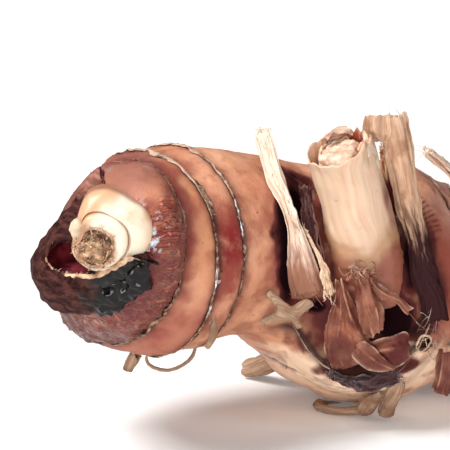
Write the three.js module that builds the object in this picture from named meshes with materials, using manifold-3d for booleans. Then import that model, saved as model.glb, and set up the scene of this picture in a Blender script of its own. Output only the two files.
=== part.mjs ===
// A fresh rhizome of greater galangal, trimmed for sale and lying as it rests on a table.
// A thick horizontal rootstock runs from a blunt bulb with a sprouting bud, at the left, through a
// neck and a crown, to the cut face where it was severed from its clump, at the right. The crown
// bears the stub of one stem among dry stalks and torn husks, leaf scars ring the rootstock, and
// cut roots stand under it.
//
// Millimetres, +Z up. Stations are measured from the point on the table under the crown, and the
// exported group moves that frame so that its origin is under the middle of the whole piece.
import * as THREE from "three";
import { mergeVertices } from "three/addons/utils/BufferGeometryUtils.js";
import Module from "manifold-3d";

const wasm = await Module();
wasm.setup();

// ---- Driving dimensions ----
const SEAT_GAP = 0.3; // air between a piece and what carries it
const BULB_RADIUS = 17; // the rootstock at its thickest ring
const CROWN_RADIUS = 15.5; // the swelling that bears the stem
const STEM_RADIUS = 5.6; // the stem stub over its sheath
const SHEATH_WALL = 0.9; // the leaf sheath round the stem
const HUSK_THICK = 0.9; // a dry scale or husk
const SCAR_WIDE = 1.6; // the ragged collar that a fallen scale leaves
const SCAR_THICK = 0.5;
const ROOT_RADIUS = 1.5; // a cut root that reaches the table

const UP = new THREE.Vector3(0, 0, 1);
const FRONT = new THREE.Vector3(0, -1, 0);

// ---- Materials ----
const finish = (color, roughness) => new THREE.MeshStandardMaterial({ color, roughness, metalness: 0 });
const SKIN = finish(0xc98a62, 0.4);
const BUD = finish(0xeedcb8, 0.45);
const STEM = finish(0xe8cfa8, 0.55);
const STRAW = finish(0xcfa983, 0.8);
const HUSK = finish(0xa5674f, 0.75);
const DARK_HUSK = finish(0x3a2226, 0.6);
const SCAR = finish(0x5a4236, 0.85);
const ROOT = finish(0xb89a7c, 0.85);

// ---- Solids from three.js geometry ----
function solidOf(geometry) {
  const bare = geometry.clone();
  bare.deleteAttribute("normal");
  bare.deleteAttribute("uv");
  const merged = mergeVertices(bare, 1e-4);
  return new wasm.Manifold(
    new wasm.Mesh({
      numProp: 3,
      vertProperties: Float32Array.from(merged.attributes.position.array),
      triVerts: Uint32Array.from(merged.index.array),
    }),
  );
}

function geometryOf(solid) {
  const { vertProperties, triVerts } = solid.getMesh();
  const geometry = new THREE.BufferGeometry();
  geometry.setAttribute("position", new THREE.BufferAttribute(vertProperties, 3));
  geometry.setIndex(new THREE.BufferAttribute(triVerts, 1));
  geometry.computeVertexNormals();
  return geometry;
}

// A three.js primitive with each of its points moved to where `move` puts it.
function reshape(primitive, move) {
  const points = primitive.attributes.position;
  const point = new THREE.Vector3();
  for (let i = 0; i < points.count; i++) {
    point.copy(move(point.fromBufferAttribute(points, i).clone()));
    points.setXYZ(i, point.x, point.y, point.z);
  }
  return solidOf(primitive);
}

const vector = ([x, y, z]) => new THREE.Vector3(x, y, z);
const curve = (points) => new THREE.CatmullRomCurve3(points.map(vector));

// A growing axis through stations of [x, y, z, wide, high, roll]. It answers, for a share of its
// length, with the place, the three directions and the two sizes there. `facing` is the side that
// "high" is measured towards, and roll turns the section about the axis.
function growth(stations, facing) {
  const spine = curve(stations);
  const sizes = new THREE.CatmullRomCurve3(
    stations.map(([, , , wide, high, roll = 0]) => new THREE.Vector3(wide, high, roll)),
    false,
    "catmullrom",
  );
  return (along) => {
    const { x: wide, y: high, z: roll } = sizes.getPoint(along);
    const forward = spine.getTangent(along);
    const side = forward.clone().cross(facing).normalize().applyAxisAngle(forward, roll);
    return { at: spine.getPoint(along), forward, side, up: side.clone().cross(forward), wide, high };
  };
}

// How far a point of a unit-long primitive moves past its own end when the piece is grown.
const pastEnd = (share, grow) => (Math.abs(share) > 0.499 ? grow * Math.sign(share) : 0);

// A round limb: a cylinder swept along its stations, whose sizes are its two radii.
function limb({ stations, facing = UP, around = 8, rows = 3 }, grow) {
  const section = growth(stations, facing);
  const tube = new THREE.CylinderGeometry(1, 1, 1, around, rows * (stations.length - 1));
  return reshape(tube, ({ x, y, z }) => {
    const { at, forward, side, up, wide, high } = section(y + 0.5);
    return at
      .addScaledVector(forward, pastEnd(y, grow))
      .addScaledVector(side, x * (wide + grow))
      .addScaledVector(up, z * (high + grow));
  });
}

// A dry husk: a strip along its stations, whose sizes are its width and the angle that it curls
// through across that width. Its back arches towards `facing`.
function husk({ stations, facing = FRONT, across = 5, rows = 3, thick = HUSK_THICK }, grow) {
  const section = growth(stations, facing);
  const strip = new THREE.BoxGeometry(1, 1, 1, across, rows * (stations.length - 1), 1);
  return reshape(strip, ({ x, y, z }) => {
    const { at, forward, side, up, wide, high: curl } = section(y + 0.5);
    const radius = wide / curl;
    const turn = x * (curl + (2 * grow) / radius);
    const reach = radius + z * (thick + 2 * grow);
    return at
      .addScaledVector(forward, pastEnd(y, grow))
      .addScaledVector(side, reach * Math.sin(turn))
      .addScaledVector(up, reach * Math.cos(turn) - radius);
  });
}

// The collar that a fallen scale leaf leaves: a flat ring that hugs a limb at one of its stations,
// or between two of them, and leans by `lean` millimetres along it towards the angle `towards`.
function scar({ on, at: station, lean = 0, towards = 0, wide = SCAR_WIDE }, grow) {
  const share = station / (on.stations.length - 1);
  const { at, forward, side, up, wide: rx, high: ry } = growth(on.stations, UP)(share);
  const tube = 0.25;
  const ring = new THREE.TorusGeometry(1, tube, 4, on.around);
  return reshape(ring, ({ x, y, z }) => {
    const angle = Math.atan2(y, x);
    const outward = (Math.hypot(x, y) - 1) / tube;
    const shift = lean * Math.cos(angle - towards) - (z / tube) * (wide / 2 + grow);
    const lift = 1.4 * SEAT_GAP + SCAR_THICK / 2 + outward * (SCAR_THICK / 2 + grow);
    return at
      .clone()
      .addScaledVector(forward, shift)
      .addScaledVector(side, (rx + lift) * Math.cos(angle))
      .addScaledVector(up, (ry + lift) * Math.sin(angle));
  });
}

// A leaf base that stands off the bulb like a cowl, from the line where it grew to its torn rim,
// and swells by `bulge` away from `centre` between the two.
function cowl({ base, rim, centre, bulge, thick = HUSK_THICK, across = 18, rows = 4 }, grow) {
  const foot = curve(base);
  const lip = curve(rim);
  const sheet = new THREE.BoxGeometry(1, 1, 1, across, rows, 1);
  return reshape(sheet, ({ x, y, z }) => {
    const share = x + 0.5;
    const rise = y + 0.5;
    const from = foot.getPoint(share);
    const to = lip.getPoint(share);
    const at = from.clone().lerp(to, rise);
    const outward = at.clone().sub(vector(centre)).normalize();
    return at
      .addScaledVector(outward, 4 * bulge * rise * (1 - rise) + z * (thick + 2 * grow))
      .addScaledVector(to.sub(from).normalize(), pastEnd(y, grow))
      .addScaledVector(lip.getTangent(share), pastEnd(x, grow));
  });
}

// The table, as a slab that takes off whatever would reach below it.
function table() {
  const slab = new THREE.BoxGeometry(200, 200, 20);
  slab.translate(0, 0, -10);
  return solidOf(slab);
}

// ---- Assembly: each piece is trimmed clear of those that were placed before it ----
const galangal = new THREE.Group();
const placed = [];

// `shape` makes the piece's solid, grown by the distance that it is given.
function place(name, material, shape) {
  let solid = shape(0).subtract(table());
  for (const earlier of placed) solid = solid.subtract(earlier(SEAT_GAP));
  const [largest] = solid.decompose().sort((a, b) => b.volume() - a.volume());
  placed.push(shape);
  const mesh = new THREE.Mesh(geometryOf(largest), material);
  mesh.name = name;
  galangal.add(mesh);
}

// ---- The rootstock ----
const TRUNK = {
  around: 28,
  rows: 2,
  stations: [
    [-39.6, -25.4, 31.0, 13.3, 16.6, 0.8],
    [-34.9, -20.6, 30.2, BULB_RADIUS - 0.6, BULB_RADIUS - 0.8, 0.45],
    [-30.2, -16.0, 30.3, 16.1, 16.4, 0.1],
    [-25.7, -12.5, 29.9, 15.6, 15.8],
    [-20.9, -9.4, 29.1, 14.8, 15.0],
    [-16.6, -6.6, 27.8, 15.2, 15.2],
    [-10.5, -3.0, 25.0, 16.4, 16.6],
    [-1.6, 0.0, 20.9, 17.5, 20.6],
    [7.0, 2.7, 20.0, 17.0, 20.1],
    [15.6, 5.0, 19.5, 15.0, 15.2],
    [24.0, 7.0, 17.0, 14.8, 14.6],
    [34.0, 9.0, 16.1, 16.0, 16.3],
    [44.0, 10.0, 15.4, 15.2, 15.2],
    [50.0, 10.5, 15.2, 14.2, 14.2],
  ],
};
const CROWN = {
  around: 24,
  rows: 2,
  stations: [
    [0.0, 4.0, 19.0, CROWN_RADIUS + 0.5, CROWN_RADIUS + 1.5],
    [-0.3, -8.0, 20.6, CROWN_RADIUS, CROWN_RADIUS + 1.6],
    [-0.3, -13.5, 22.0, 13.2, 15.2],
    [-0.3, -17.0, 23.0, 8.5, 10.5],
  ],
};
const BULB_END = { back: 3, pole: [-40.6, -37.2, 35.4] };

// The domed end of the bulb: half a ball that leans until its pole is where the bud sprouts.
function bulbEnd(grow) {
  const { at, side, up, wide, high } = growth(TRUNK.stations, UP)(0);
  const pole = vector(BULB_END.pole).sub(at);
  const ahead = 1 + grow / pole.length();
  const behind = (BULB_END.back + grow) / pole.length();
  return reshape(new THREE.SphereGeometry(1, 28, 14), ({ x, y, z }) =>
    at
      .clone()
      .addScaledVector(side, x * (wide + grow))
      .addScaledVector(up, y * (high + grow))
      .addScaledVector(pole, z * (z > 0 ? ahead : behind)),
  );
}

place("rhizome", SKIN, (grow) => limb(TRUNK, grow).add(bulbEnd(grow)).add(limb(CROWN, grow)));

// ---- The sprouting bud: one leaf inside another round a frayed core, and the dead leaf's cowl ----
const BUD_LEAVES = {
  bud_core: {
    material: STRAW,
    around: 10,
    stations: [
      [-41.9, -40, 36.3, 3, 3],
      [-42.1, -42.6, 35.5, 2.7, 2.7],
      [-42.3, -44.4, 34.9, 1.6, 1.6],
    ],
  },
  bud_leaf_inner: {
    around: 18,
    stations: [
      [-41.0, -38, 37.0, 4.9, 4.9],
      [-41.4, -41, 36.9, 4.7, 4.7],
      [-41.8, -43, 36.4, 3.7, 3.7],
    ],
  },
  bud_leaf_outer: {
    around: 20,
    stations: [
      [-39.2, -35, 37.6, 7.1, 6.8],
      [-39.5, -38.8, 37.8, 6.9, 6.6],
      [-40.1, -41.4, 37.9, 5.8, 5.6],
    ],
  },
};
for (const [name, { material = BUD, ...leaf }] of Object.entries(BUD_LEAVES)) {
  place(name, material, (grow) => limb({ ...leaf, rows: 2 }, grow));
}

const HOOD = {
  centre: [-39, -28, 34],
  bulge: 0.9,
  base: [
    [-41.6, -26.5, 45.0],
    [-43.6, -27.5, 42.6],
    [-46.6, -28.5, 38.4],
    [-51.5, -29.5, 33],
    [-51.8, -30.5, 29],
    [-50.8, -31.5, 25.6],
    [-47.8, -33, 23.6],
    [-43.8, -35.5, 23.8],
    [-39.9, -37, 24.4],
    [-36.2, -39, 27],
    [-33.8, -40.6, 30.6],
  ],
  rim: [
    [-42.2, -30.5, 43.2],
    [-43.6, -33.2, 41.2],
    [-45.6, -35, 37.4],
    [-49.8, -36, 33.2],
    [-49.2, -37.5, 31.2],
    [-46.2, -39, 30.9],
    [-43.3, -40, 31.2],
    [-40.4, -40.6, 32.6],
    [-37.4, -41.4, 33.5],
    [-34.2, -42.2, 33.8],
  ],
};
place("bud_hood", DARK_HUSK, (grow) => cowl(HOOD, grow));

// ---- Stem stub: a leaf sheath round a core of pith ----
const STEM_STATIONS = [
  [0.2, -13.0, 22.0, 1.6],
  [-0.2, -15.2, 29.0, 0.9],
  [-1.2, -16.5, 34.5, 0.3],
  [-2.0, -17.2, 38.7, 0],
  [-3.6, -18.3, 43.6, -0.2],
  [-5.0, -19.0, 47.6, -0.4],
];
const PITH_TOP = [-4.55, -18.8, 46.4, 3.6, 3.2];
const HOLLOW_FROM = 3; // the station where the sheath parts from the pith

// The stem's stations from one of them on, each at its radius less `inset`.
const stemFrom = (first, inset) =>
  STEM_STATIONS.slice(first).map(([x, y, z, flare]) => {
    const radius = STEM_RADIUS + flare - inset;
    return [x, y, z, radius, radius];
  });
const stem = (stations, around) => ({ stations, around, facing: FRONT, rows: 2 });

const PITH = [...stemFrom(HOLLOW_FROM, SHEATH_WALL + SEAT_GAP).slice(0, 2), PITH_TOP];
place("stem_pith", BUD, (grow) => limb(stem(PITH, 16), grow));
place("stem_sheath", STEM, (grow) => {
  const outside = limb(stem(stemFrom(0, 0), 18), grow);
  const bore = limb(stem(stemFrom(HOLLOW_FROM, SHEATH_WALL), 18), SEAT_GAP);
  return grow ? outside : outside.subtract(bore);
});

// ---- Dry stalks of leaves that have died back ----
place("left_stalk", STRAW, (grow) =>
  limb(
    {
      facing: FRONT,
      around: 10,
      stations: [
        [-9.2, -21.8, 23.0, 3.2, 0.9],
        [-10.3, -22.0, 28.0, 2.7, 0.9],
        [-12.4, -20.4, 34.6, 2.0, 1.1],
        [-14.6, -17.6, 41.7, 1.75, 1.2],
        [-16.8, -15.0, 49.4, 1.6, 1.2],
      ],
    },
    grow,
  ),
);
const STALKS = {
  left_stalk_flap: {
    stations: [
      [-6.3, -22.4, 23.2, 3.4, 0.8],
      [-7.4, -22.2, 27.3, 2.6, 0.8],
      [-9.1, -21.2, 31.6, 1.6, 0.6],
      [-10.6, -20, 34.6, 0.8, 0.4],
    ],
  },
  right_stalk: {
    across: 12,
    rows: 2,
    stations: [
      [10.8, -17.6, 17.6, 5.6, 1.2],
      [10.2, -17.8, 21.2, 5.6, 1.4],
      [8.6, -17.0, 28.3, 4.8, 1.8],
      [7.1, -15.9, 34.2, 5.0, 2.6],
      [5.9, -14.8, 40.4, 7.6, 4.0],
      [4.9, -13.2, 46.0, 11.0, 4.8],
      [3.9, -12.0, 51.2, 12.4, 5.0],
    ],
  },
  right_stalk_strip: {
    stations: [
      [3.9, -12.6, 34.5, 2.2, 0.6],
      [2.9, -11.6, 40.6, 2.4, 0.6],
      [2.0, -10.6, 46.0, 1.8, 0.6],
    ],
  },
};
for (const [name, strip] of Object.entries(STALKS)) {
  place(name, STRAW, (grow) => husk(strip, grow));
}

// ---- Leaf scars ----
const SCARS = {
  bulb_scar_front: { on: TRUNK, at: 0, wide: 1.2 },
  bulb_scar_middle: { on: TRUNK, at: 1 },
  bulb_scar_back: { on: TRUNK, at: 2, lean: 0.6, towards: 1 },
  crown_scar: { on: CROWN, at: 2.45 },
  shoulder_scar: { on: TRUNK, at: 8.7, lean: 2, towards: 2.4 },
  right_scar_near: { on: TRUNK, at: 10.2, lean: 1, towards: 0.5 },
  right_scar_far: { on: TRUNK, at: 11.6, lean: 0.8, towards: 3 },
};
for (const [name, collar] of Object.entries(SCARS)) {
  place(name, SCAR, (grow) => scar(collar, grow));
}

// ---- Husks torn open at the foot of the stem, and scales left on the crown ----
const SCALES = {
  husk_front_left: {
    across: 8,
    stations: [
      [0.8, -19.4, 9.8, 9.5, 1.2],
      [-1.0, -21.6, 14.2, 8.6, 1.4],
      [-2.8, -23.4, 20.2, 5.4, 1.4],
      [-4.3, -24.0, 26.0, 3.0, 1.0],
    ],
  },
  husk_front_middle: {
    stations: [
      [2.4, -20.8, 13.6, 2.4, 1.2],
      [1.4, -23.0, 16.6, 3.0, 1.6],
      [0.6, -24.4, 20.6, 3.8, 1.8],
      [-0.4, -24.4, 25.0, 3.2, 1.8],
      [-1.2, -23.4, 28.6, 2.0, 1.2],
    ],
  },
  husk_front_right: {
    stations: [
      [4.4, -23.0, 21.4, 6.0, 0.9],
      [4.2, -22.0, 24.6, 6.2, 1.2],
      [3.8, -20.6, 28.2, 5.8, 1.4],
    ],
  },
  husk_front_lower: {
    across: 8,
    stations: [
      [5.4, -17.6, 10.0, 6.6, 0.8],
      [4.8, -20.2, 13.8, 5.6, 0.8],
      [4.0, -21.6, 17.4, 3.8, 0.6],
    ],
  },
  crown_rim_scale: {
    rows: 6,
    material: DARK_HUSK,
    stations: [
      [-6.6, -18.0, 11.8, 2.2, 0.5],
      [-2.8, -19.7, 9.6, 3.2, 0.6],
      [1.6, -19.7, 8.8, 3.2, 0.6],
      [5.8, -18.6, 9.8, 2.2, 0.5],
    ],
  },
  crown_scale_left: {
    material: DARK_HUSK,
    facing: [-0.3, -0.9, 0.2],
    stations: [
      [-6.6, -19.6, 23.6, 3.0, 0.8],
      [-8.4, -20.9, 29.2, 4.0, 0.9],
      [-9.4, -19.6, 35.0, 3.8, 0.9],
      [-10.0, -15.2, 40.2, 2.6, 0.7],
    ],
  },
  crown_scale_right: {
    facing: [0.5, -0.8, 0.2],
    stations: [
      [12.6, -15.6, 5.4, 4.6, 0.5],
      [13.4, -15.8, 9.0, 5.2, 0.6],
      [13.6, -15.4, 12.6, 5.4, 0.7],
      [13.0, -14.2, 15.6, 4.6, 0.7],
    ],
  },
  crown_scale_top: {
    material: STRAW,
    facing: [0.3, -0.3, 1],
    stations: [
      [22.8, -1.4, 30.6, 6.6, 0.7],
      [18.6, -2.6, 36.0, 5.8, 0.8],
      [13.8, -4.2, 41.0, 3.4, 0.8],
      [9.8, -5.6, 44.2, 1.6, 0.6],
    ],
  },
  crown_scale_back: {
    material: STRAW,
    facing: [0, 0.8, 0.6],
    stations: [
      [-1.0, 19.8, 25.0, 9.0, 0.8],
      [-0.4, 17.4, 33.0, 8.0, 0.9],
      [0.6, 15.8, 40.0, 5.0, 0.8],
      [1.2, 15.0, 44.0, 2.4, 0.6],
    ],
  },
};
for (const [name, { material = HUSK, facing = [0, -1, 0], ...shape }] of Object.entries(SCALES)) {
  place(name, material, (grow) => husk({ ...shape, facing: vector(facing).normalize() }, grow));
}

// ---- Roots ----
const ROOTS = {
  root_front_left: [
    [
      [3.2, -15.4, 9.8, ROOT_RADIUS, ROOT_RADIUS],
      [2.3, -15, 6.4, ROOT_RADIUS, ROOT_RADIUS],
      [1.2, -13.2, 3.4, 1.6, 1.5],
      [0.4, -10.8, 1.3, 1.7, 1.4],
    ],
  ],
  root_front_right: [
    [
      [5.8, -15.2, 10, ROOT_RADIUS, ROOT_RADIUS],
      [5.4, -15, 6.6, ROOT_RADIUS, ROOT_RADIUS],
      [4.6, -13.4, 3.6, 1.6, 1.4],
      [4.1, -11.4, 1.2, 1.7, 1.4],
    ],
  ],
  root_loop: [
    [
      [1.4, -9.0, 0.95, 0.9, 0.9],
      [-2, -9.4, 0.8, 0.8, 0.75],
      [-5.6, -8, 0.8, 0.8, 0.75],
      [-7, -5.4, 0.8, 0.8, 0.75],
      [-5.6, -3, 0.8, 0.8, 0.75],
      [-2.6, -2.2, 0.8, 0.7, 0.7],
    ],
  ],
  root_back_left: [
    [
      [-8.6, 5, 10, 2.2, 2.2],
      [-12.2, 8, 6.3, 2.1, 2.1],
      [-15.4, 11, 3.5, 2, 2],
      [-18.8, 15, 1.3, 2, 1.6],
    ],
  ],
  root_back_right: [
    [
      [6, 13, 8, 1.8, 1.8],
      [7.6, 17, 4.4, 1.8, 1.8],
      [8.4, 19.6, 1.2, 1.7, 1.6],
    ],
  ],
  root_under_right: [
    [
      [27, -1, 5, 1.6, 1.6],
      [27.6, -6, 2.6, 1.6, 1.6],
      [28, -9, 1.2, 1.5, 1.4],
    ],
  ],
  rootlet_left: [
    [
      [-8.8, -22.3, 22.0, 1.2, 1.2],
      [-9.8, -23.6, 22.3, 1.1, 1.1],
      [-11.9, -25, 21.4, 1.1, 1.1],
      [-14.3, -25.2, 21.1, 1, 1],
      [-17, -26, 20.1, 0.8, 0.8],
    ],
    [
      [-15.9, -25.2, 24.9, 0.7, 0.7],
      [-13.8, -25, 22.9, 0.8, 0.8],
      [-11.9, -25, 21.4, 0.9, 0.9],
    ],
    [
      [-11.8, -25, 21.5, 0.9, 0.9],
      [-11.2, -25, 20.2, 0.8, 0.8],
      [-10.7, -25, 19, 0.7, 0.7],
    ],
  ],
  collar_rootlet: [
    [
      [-24.8, -29.4, 24.6, 0.8, 0.8],
      [-24.7, -30.6, 22.2, 0.7, 0.7],
      [-24.2, -29.6, 19.4, 0.7, 0.7],
      [-25.4, -27.4, 16.4, 0.5, 0.5],
    ],
  ],
  bulb_root_tuft: [
    [
      [-36, -20, 15.2, 1.3, 1.3],
      [-37, -20, 12.8, 1.4, 1.2],
      [-38.1, -20.2, 10.4, 1.5, 0.8],
    ],
  ],
  bulb_root_hair: [
    [
      [-35.4, -20, 14.2, 0.35, 0.35],
      [-34.8, -20.6, 11.9, 0.35, 0.35],
      [-31.6, -22, 11.2, 0.35, 0.35],
      [-28.1, -20, 12.4, 0.35, 0.35],
      [-27, -18, 14.4, 0.35, 0.35],
    ],
  ],
};
for (const [name, branches] of Object.entries(ROOTS)) {
  place(name, ROOT, (grow) =>
    branches
      .map((stations) => limb({ stations }, grow))
      .reduce((whole, branch) => whole.add(branch)),
  );
}

// ---- The frame: the origin stands on the table under the middle of the piece ----
const middle = new THREE.Box3().setFromObject(galangal).getCenter(new THREE.Vector3());
galangal.position.set(-middle.x, -middle.y, 0);
export default galangal;
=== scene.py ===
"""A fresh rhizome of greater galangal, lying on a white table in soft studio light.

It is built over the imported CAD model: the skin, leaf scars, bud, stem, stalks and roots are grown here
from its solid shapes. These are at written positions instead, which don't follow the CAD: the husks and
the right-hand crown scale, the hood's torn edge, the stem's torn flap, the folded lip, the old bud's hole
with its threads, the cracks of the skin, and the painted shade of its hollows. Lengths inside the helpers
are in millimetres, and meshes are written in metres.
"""
import bmesh
import bpy
import math
import numpy as np
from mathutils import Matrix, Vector
from mathutils.bvhtree import BVHTree


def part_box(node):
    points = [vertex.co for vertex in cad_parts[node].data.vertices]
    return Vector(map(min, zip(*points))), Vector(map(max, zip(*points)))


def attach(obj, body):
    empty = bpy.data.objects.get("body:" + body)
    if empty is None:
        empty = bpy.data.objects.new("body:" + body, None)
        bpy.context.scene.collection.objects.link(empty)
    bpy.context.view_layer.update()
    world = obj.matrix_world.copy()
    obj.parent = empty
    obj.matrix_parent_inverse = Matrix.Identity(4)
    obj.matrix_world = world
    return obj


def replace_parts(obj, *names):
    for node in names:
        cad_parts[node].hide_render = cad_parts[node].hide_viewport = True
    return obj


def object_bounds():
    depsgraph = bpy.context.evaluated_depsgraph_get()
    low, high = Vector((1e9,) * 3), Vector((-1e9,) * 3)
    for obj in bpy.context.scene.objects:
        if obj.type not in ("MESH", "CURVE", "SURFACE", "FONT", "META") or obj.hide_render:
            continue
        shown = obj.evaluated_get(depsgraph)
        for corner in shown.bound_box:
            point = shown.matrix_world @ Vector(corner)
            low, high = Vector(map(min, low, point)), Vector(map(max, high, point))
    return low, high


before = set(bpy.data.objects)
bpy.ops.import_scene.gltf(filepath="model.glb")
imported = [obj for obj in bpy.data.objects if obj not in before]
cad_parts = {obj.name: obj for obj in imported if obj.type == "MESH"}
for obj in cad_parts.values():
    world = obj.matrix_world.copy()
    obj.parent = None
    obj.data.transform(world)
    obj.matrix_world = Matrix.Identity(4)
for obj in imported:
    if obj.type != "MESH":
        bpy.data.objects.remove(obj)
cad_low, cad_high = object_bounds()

scene = bpy.context.scene
scene.view_settings.view_transform = "Standard"

# ---- Camera, table and light ---------------------------------------------------------------------
# A long lens looks down a little on the root from its front. The table is white and so bright that only
# the soft shadow shows on it. One softbox hangs above left, one stands right and one low in front.


def add(tree, kind, settings=None, **sockets):
    """A shader node; each named socket takes a value, or a link from another node's output."""
    made = tree.nodes.new("ShaderNode" + kind)
    for key, value in (settings or {}).items():
        setattr(made, key, value)
    for key, value in sockets.items():
        socket = made.inputs[int(key[1:]) if key[1:].isdigit() else key.replace("_", " ")]
        if isinstance(value, bpy.types.NodeSocket):
            tree.links.new(value, socket)
        else:
            socket.default_value = value
    return made


def aim(thing, target):
    thing.rotation_euler = (Vector(target) - thing.location).to_track_quat("-Z", "Y").to_euler()


middle = (cad_low + cad_high) / 2
camera = bpy.data.objects.new("camera", bpy.data.cameras.new("camera"))
scene.collection.objects.link(camera)
scene.camera = camera
camera.data.lens = 201.6
camera.data.sensor_width = 36
camera.data.clip_end = 20
aimed_at = Vector((middle.x - 0.0219, middle.y + 0.0093, cad_low.z + 0.0303))
camera_distance, looking_down = 0.42, math.radians(12)
camera.location = aimed_at + camera_distance * Vector((0, -math.cos(looking_down), math.sin(looking_down)))
aim(camera, aimed_at)


def softbox(name, place, target, size, power):
    data = bpy.data.lights.new(name, "AREA")
    data.shape, data.size, data.size_y, data.energy = "RECTANGLE", size[0], size[1], power
    light = bpy.data.objects.new(name, data)
    scene.collection.objects.link(light)
    light.location = place
    aim(light, target)


softbox("softbox_above", (-0.27, -0.10, 0.42), (0, 0, 0.02), (0.20, 0.20), 3.0)
softbox("softbox_right", (0.42, -0.26, 0.22), (-0.02, 0, 0.03), (0.14, 0.34), 0.9)
softbox("softbox_front", (-0.12, -0.60, 0.08), (0, 0, 0.01), (0.40, 0.15), 2.3)

world = bpy.data.worlds.new("studio")
scene.world = world
world.use_nodes = True
sky = world.node_tree
sky.nodes.clear()
seen = add(sky, "LightPath")
lit = add(sky, "Background", Color=(0.96, 0.97, 1, 1), Strength=0.11)
white = add(sky, "Background", Color=(1, 1, 1, 1), Strength=1.1)
both = add(sky, "MixShader", _0=seen.outputs["Is Camera Ray"], _1=lit.outputs[0], _2=white.outputs[0])
add(sky, "OutputWorld", Surface=both.outputs[0])

floor_mesh = bpy.data.meshes.new("table_top")
corners = ((-1, -1), (1, -1), (1, 1), (-1, 1))
half_table = 1.5
floor_mesh.from_pydata(
    [(x * half_table, y * half_table, cad_low.z) for x, y in corners], [], [(0, 1, 2, 3)],
)
table_top = bpy.data.objects.new("table_top", floor_mesh)
scene.collection.objects.link(table_top)
paper = bpy.data.materials.new("white table")
paper.use_nodes = True
tree = paper.node_tree
tree.nodes.clear()
white_board = add(tree, "BsdfDiffuse", Color=(0.93, 0.925, 0.915, 1))
from_middle = add(tree, "VectorMath", {"operation": "LENGTH"}, _0=add(tree, "TexCoord").outputs["Object"])
fade = add(
    tree, "MapRange", Value=from_middle.outputs["Value"], From_Min=0.12, From_Max=0.42, To_Min=0.10,
    To_Max=1.0,
)
seen = add(tree, "LightPath")
glow = add(tree, "Math", {"operation": "MULTIPLY"}, _0=fade.outputs[0], _1=seen.outputs["Is Camera Ray"])
lit_board = add(tree, "Emission", Color=(1, 0.995, 0.985, 1), Strength=glow.outputs[0])
board = add(tree, "AddShader", _0=white_board.outputs[0], _1=lit_board.outputs[0])
add(tree, "OutputMaterial", Surface=board.outputs[0])
floor_mesh.materials.append(paper)

# ---- Rootstock -----------------------------------------------------------------------------------
# The living flesh: a blunt bulb, a neck and a crown under taut, peach-tan skin. It is golden between
# the leaf scars, wine red where it was bruised, and wrinkled and wet round the sprouting bud.


def points_of(mesh):
    """Its vertices, in millimetres."""
    flat = np.empty(len(mesh.vertices) * 3, np.float32)
    mesh.vertices.foreach_get("co", flat)
    return flat.reshape(-1, 3).astype(float) * 1000


def write_points(mesh, points):
    mesh.vertices.foreach_set("co", (points / 1000).astype(np.float32).ravel())
    mesh.update()


def normals_of(mesh):
    flat = np.empty(len(mesh.vertices) * 3, np.float32)
    mesh.vertex_normals.foreach_get("vector", flat)
    return flat.reshape(-1, 3).astype(float)


def edges_of(mesh):
    flat = np.empty(len(mesh.edges) * 2, np.int32)
    mesh.edges.foreach_get("vertices", flat)
    return flat.reshape(-1, 2)


def relaxed(values, edges, rounds, pull=0.5):
    """Values at the vertices, each drawn towards the mean of its neighbours."""
    a, b = edges.T
    count = len(values)
    near = np.maximum(np.bincount(a, minlength=count) + np.bincount(b, minlength=count), 1)
    for _ in range(rounds):
        total = np.stack(
            [np.bincount(a, column[b], count) + np.bincount(b, column[a], count) for column in values.T], 1
        )
        values = values + pull * (total / near[:, None] - values)
    return values


def fine_copy(node, name, cell, rounds):
    """A new piece of a CAD node's shape, in even faces `cell` millimetres across, relaxed."""
    rough = bmesh.new()
    rough.from_mesh(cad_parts[node].data)
    bmesh.ops.remove_doubles(rough, verts=rough.verts, dist=1e-6)
    mesh = bpy.data.meshes.new(name)
    rough.to_mesh(mesh)
    rough.free()
    piece = bpy.data.objects.new(name, mesh)
    scene.collection.objects.link(piece)
    remesh = piece.modifiers.new("even faces", "REMESH")
    remesh.mode, remesh.voxel_size = "VOXEL", cell / 1000
    even = piece.evaluated_get(bpy.context.evaluated_depsgraph_get())
    piece.data = bpy.data.meshes.new_from_object(even)
    piece.modifiers.clear()
    piece.data.name = name
    write_points(piece.data, relaxed(points_of(piece.data), edges_of(piece.data), rounds))
    piece.data.shade_smooth()
    return piece


def lumps(points, size, seed):
    """Smooth random values from -1 to 1, about `size` millimetres apart."""
    place = points / size
    cell = np.floor(place)
    t = place - cell
    t = t * t * (3 - 2 * t)
    cell = cell.astype(np.int64)
    table = np.random.default_rng(seed).uniform(-1, 1, 4096)
    total = np.zeros(len(points))
    for corner in np.ndindex(2, 2, 2):
        key = (cell + corner) @ np.array([73856093, 19349663, 83492791])
        weight = np.prod(np.where(np.array(corner) == 1, t, 1 - t), axis=1)
        total += table[(key * 40503 >> 7) & 4095] * weight
    return total


def layered(points, size, seed, octaves=3):
    """The same with finer and fainter lumps added."""
    return sum(lumps(points, size / 2**k, seed + k) / 2**k for k in range(octaves))


def ease(values, low, high):
    """0 below low and 1 above high, with a smooth rise between them."""
    t = np.clip((values - low) / (high - low), 0, 1)
    return t * t * (3 - 2 * t)


def bell(values, width, power=2):
    """1 at zero, falling smoothly to nothing over a few widths either side."""
    return np.exp(-((values / width) ** power))


def keep(mesh, **fields):
    """Stores values at the vertices for the material to read."""
    for name, values in fields.items():
        values = np.asarray(values, np.float32)
        kind, field = ("FLOAT", "value") if values.ndim == 1 else ("FLOAT_VECTOR", "vector")
        mesh.attributes.new(name, kind, "POINT").data.foreach_set(field, values.ravel())


def finish_piece(piece, material, slot, *nodes):
    piece.data.materials.clear()
    piece.data.materials.append(material)
    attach(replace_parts(piece, *nodes) if nodes else piece, "root")


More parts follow.
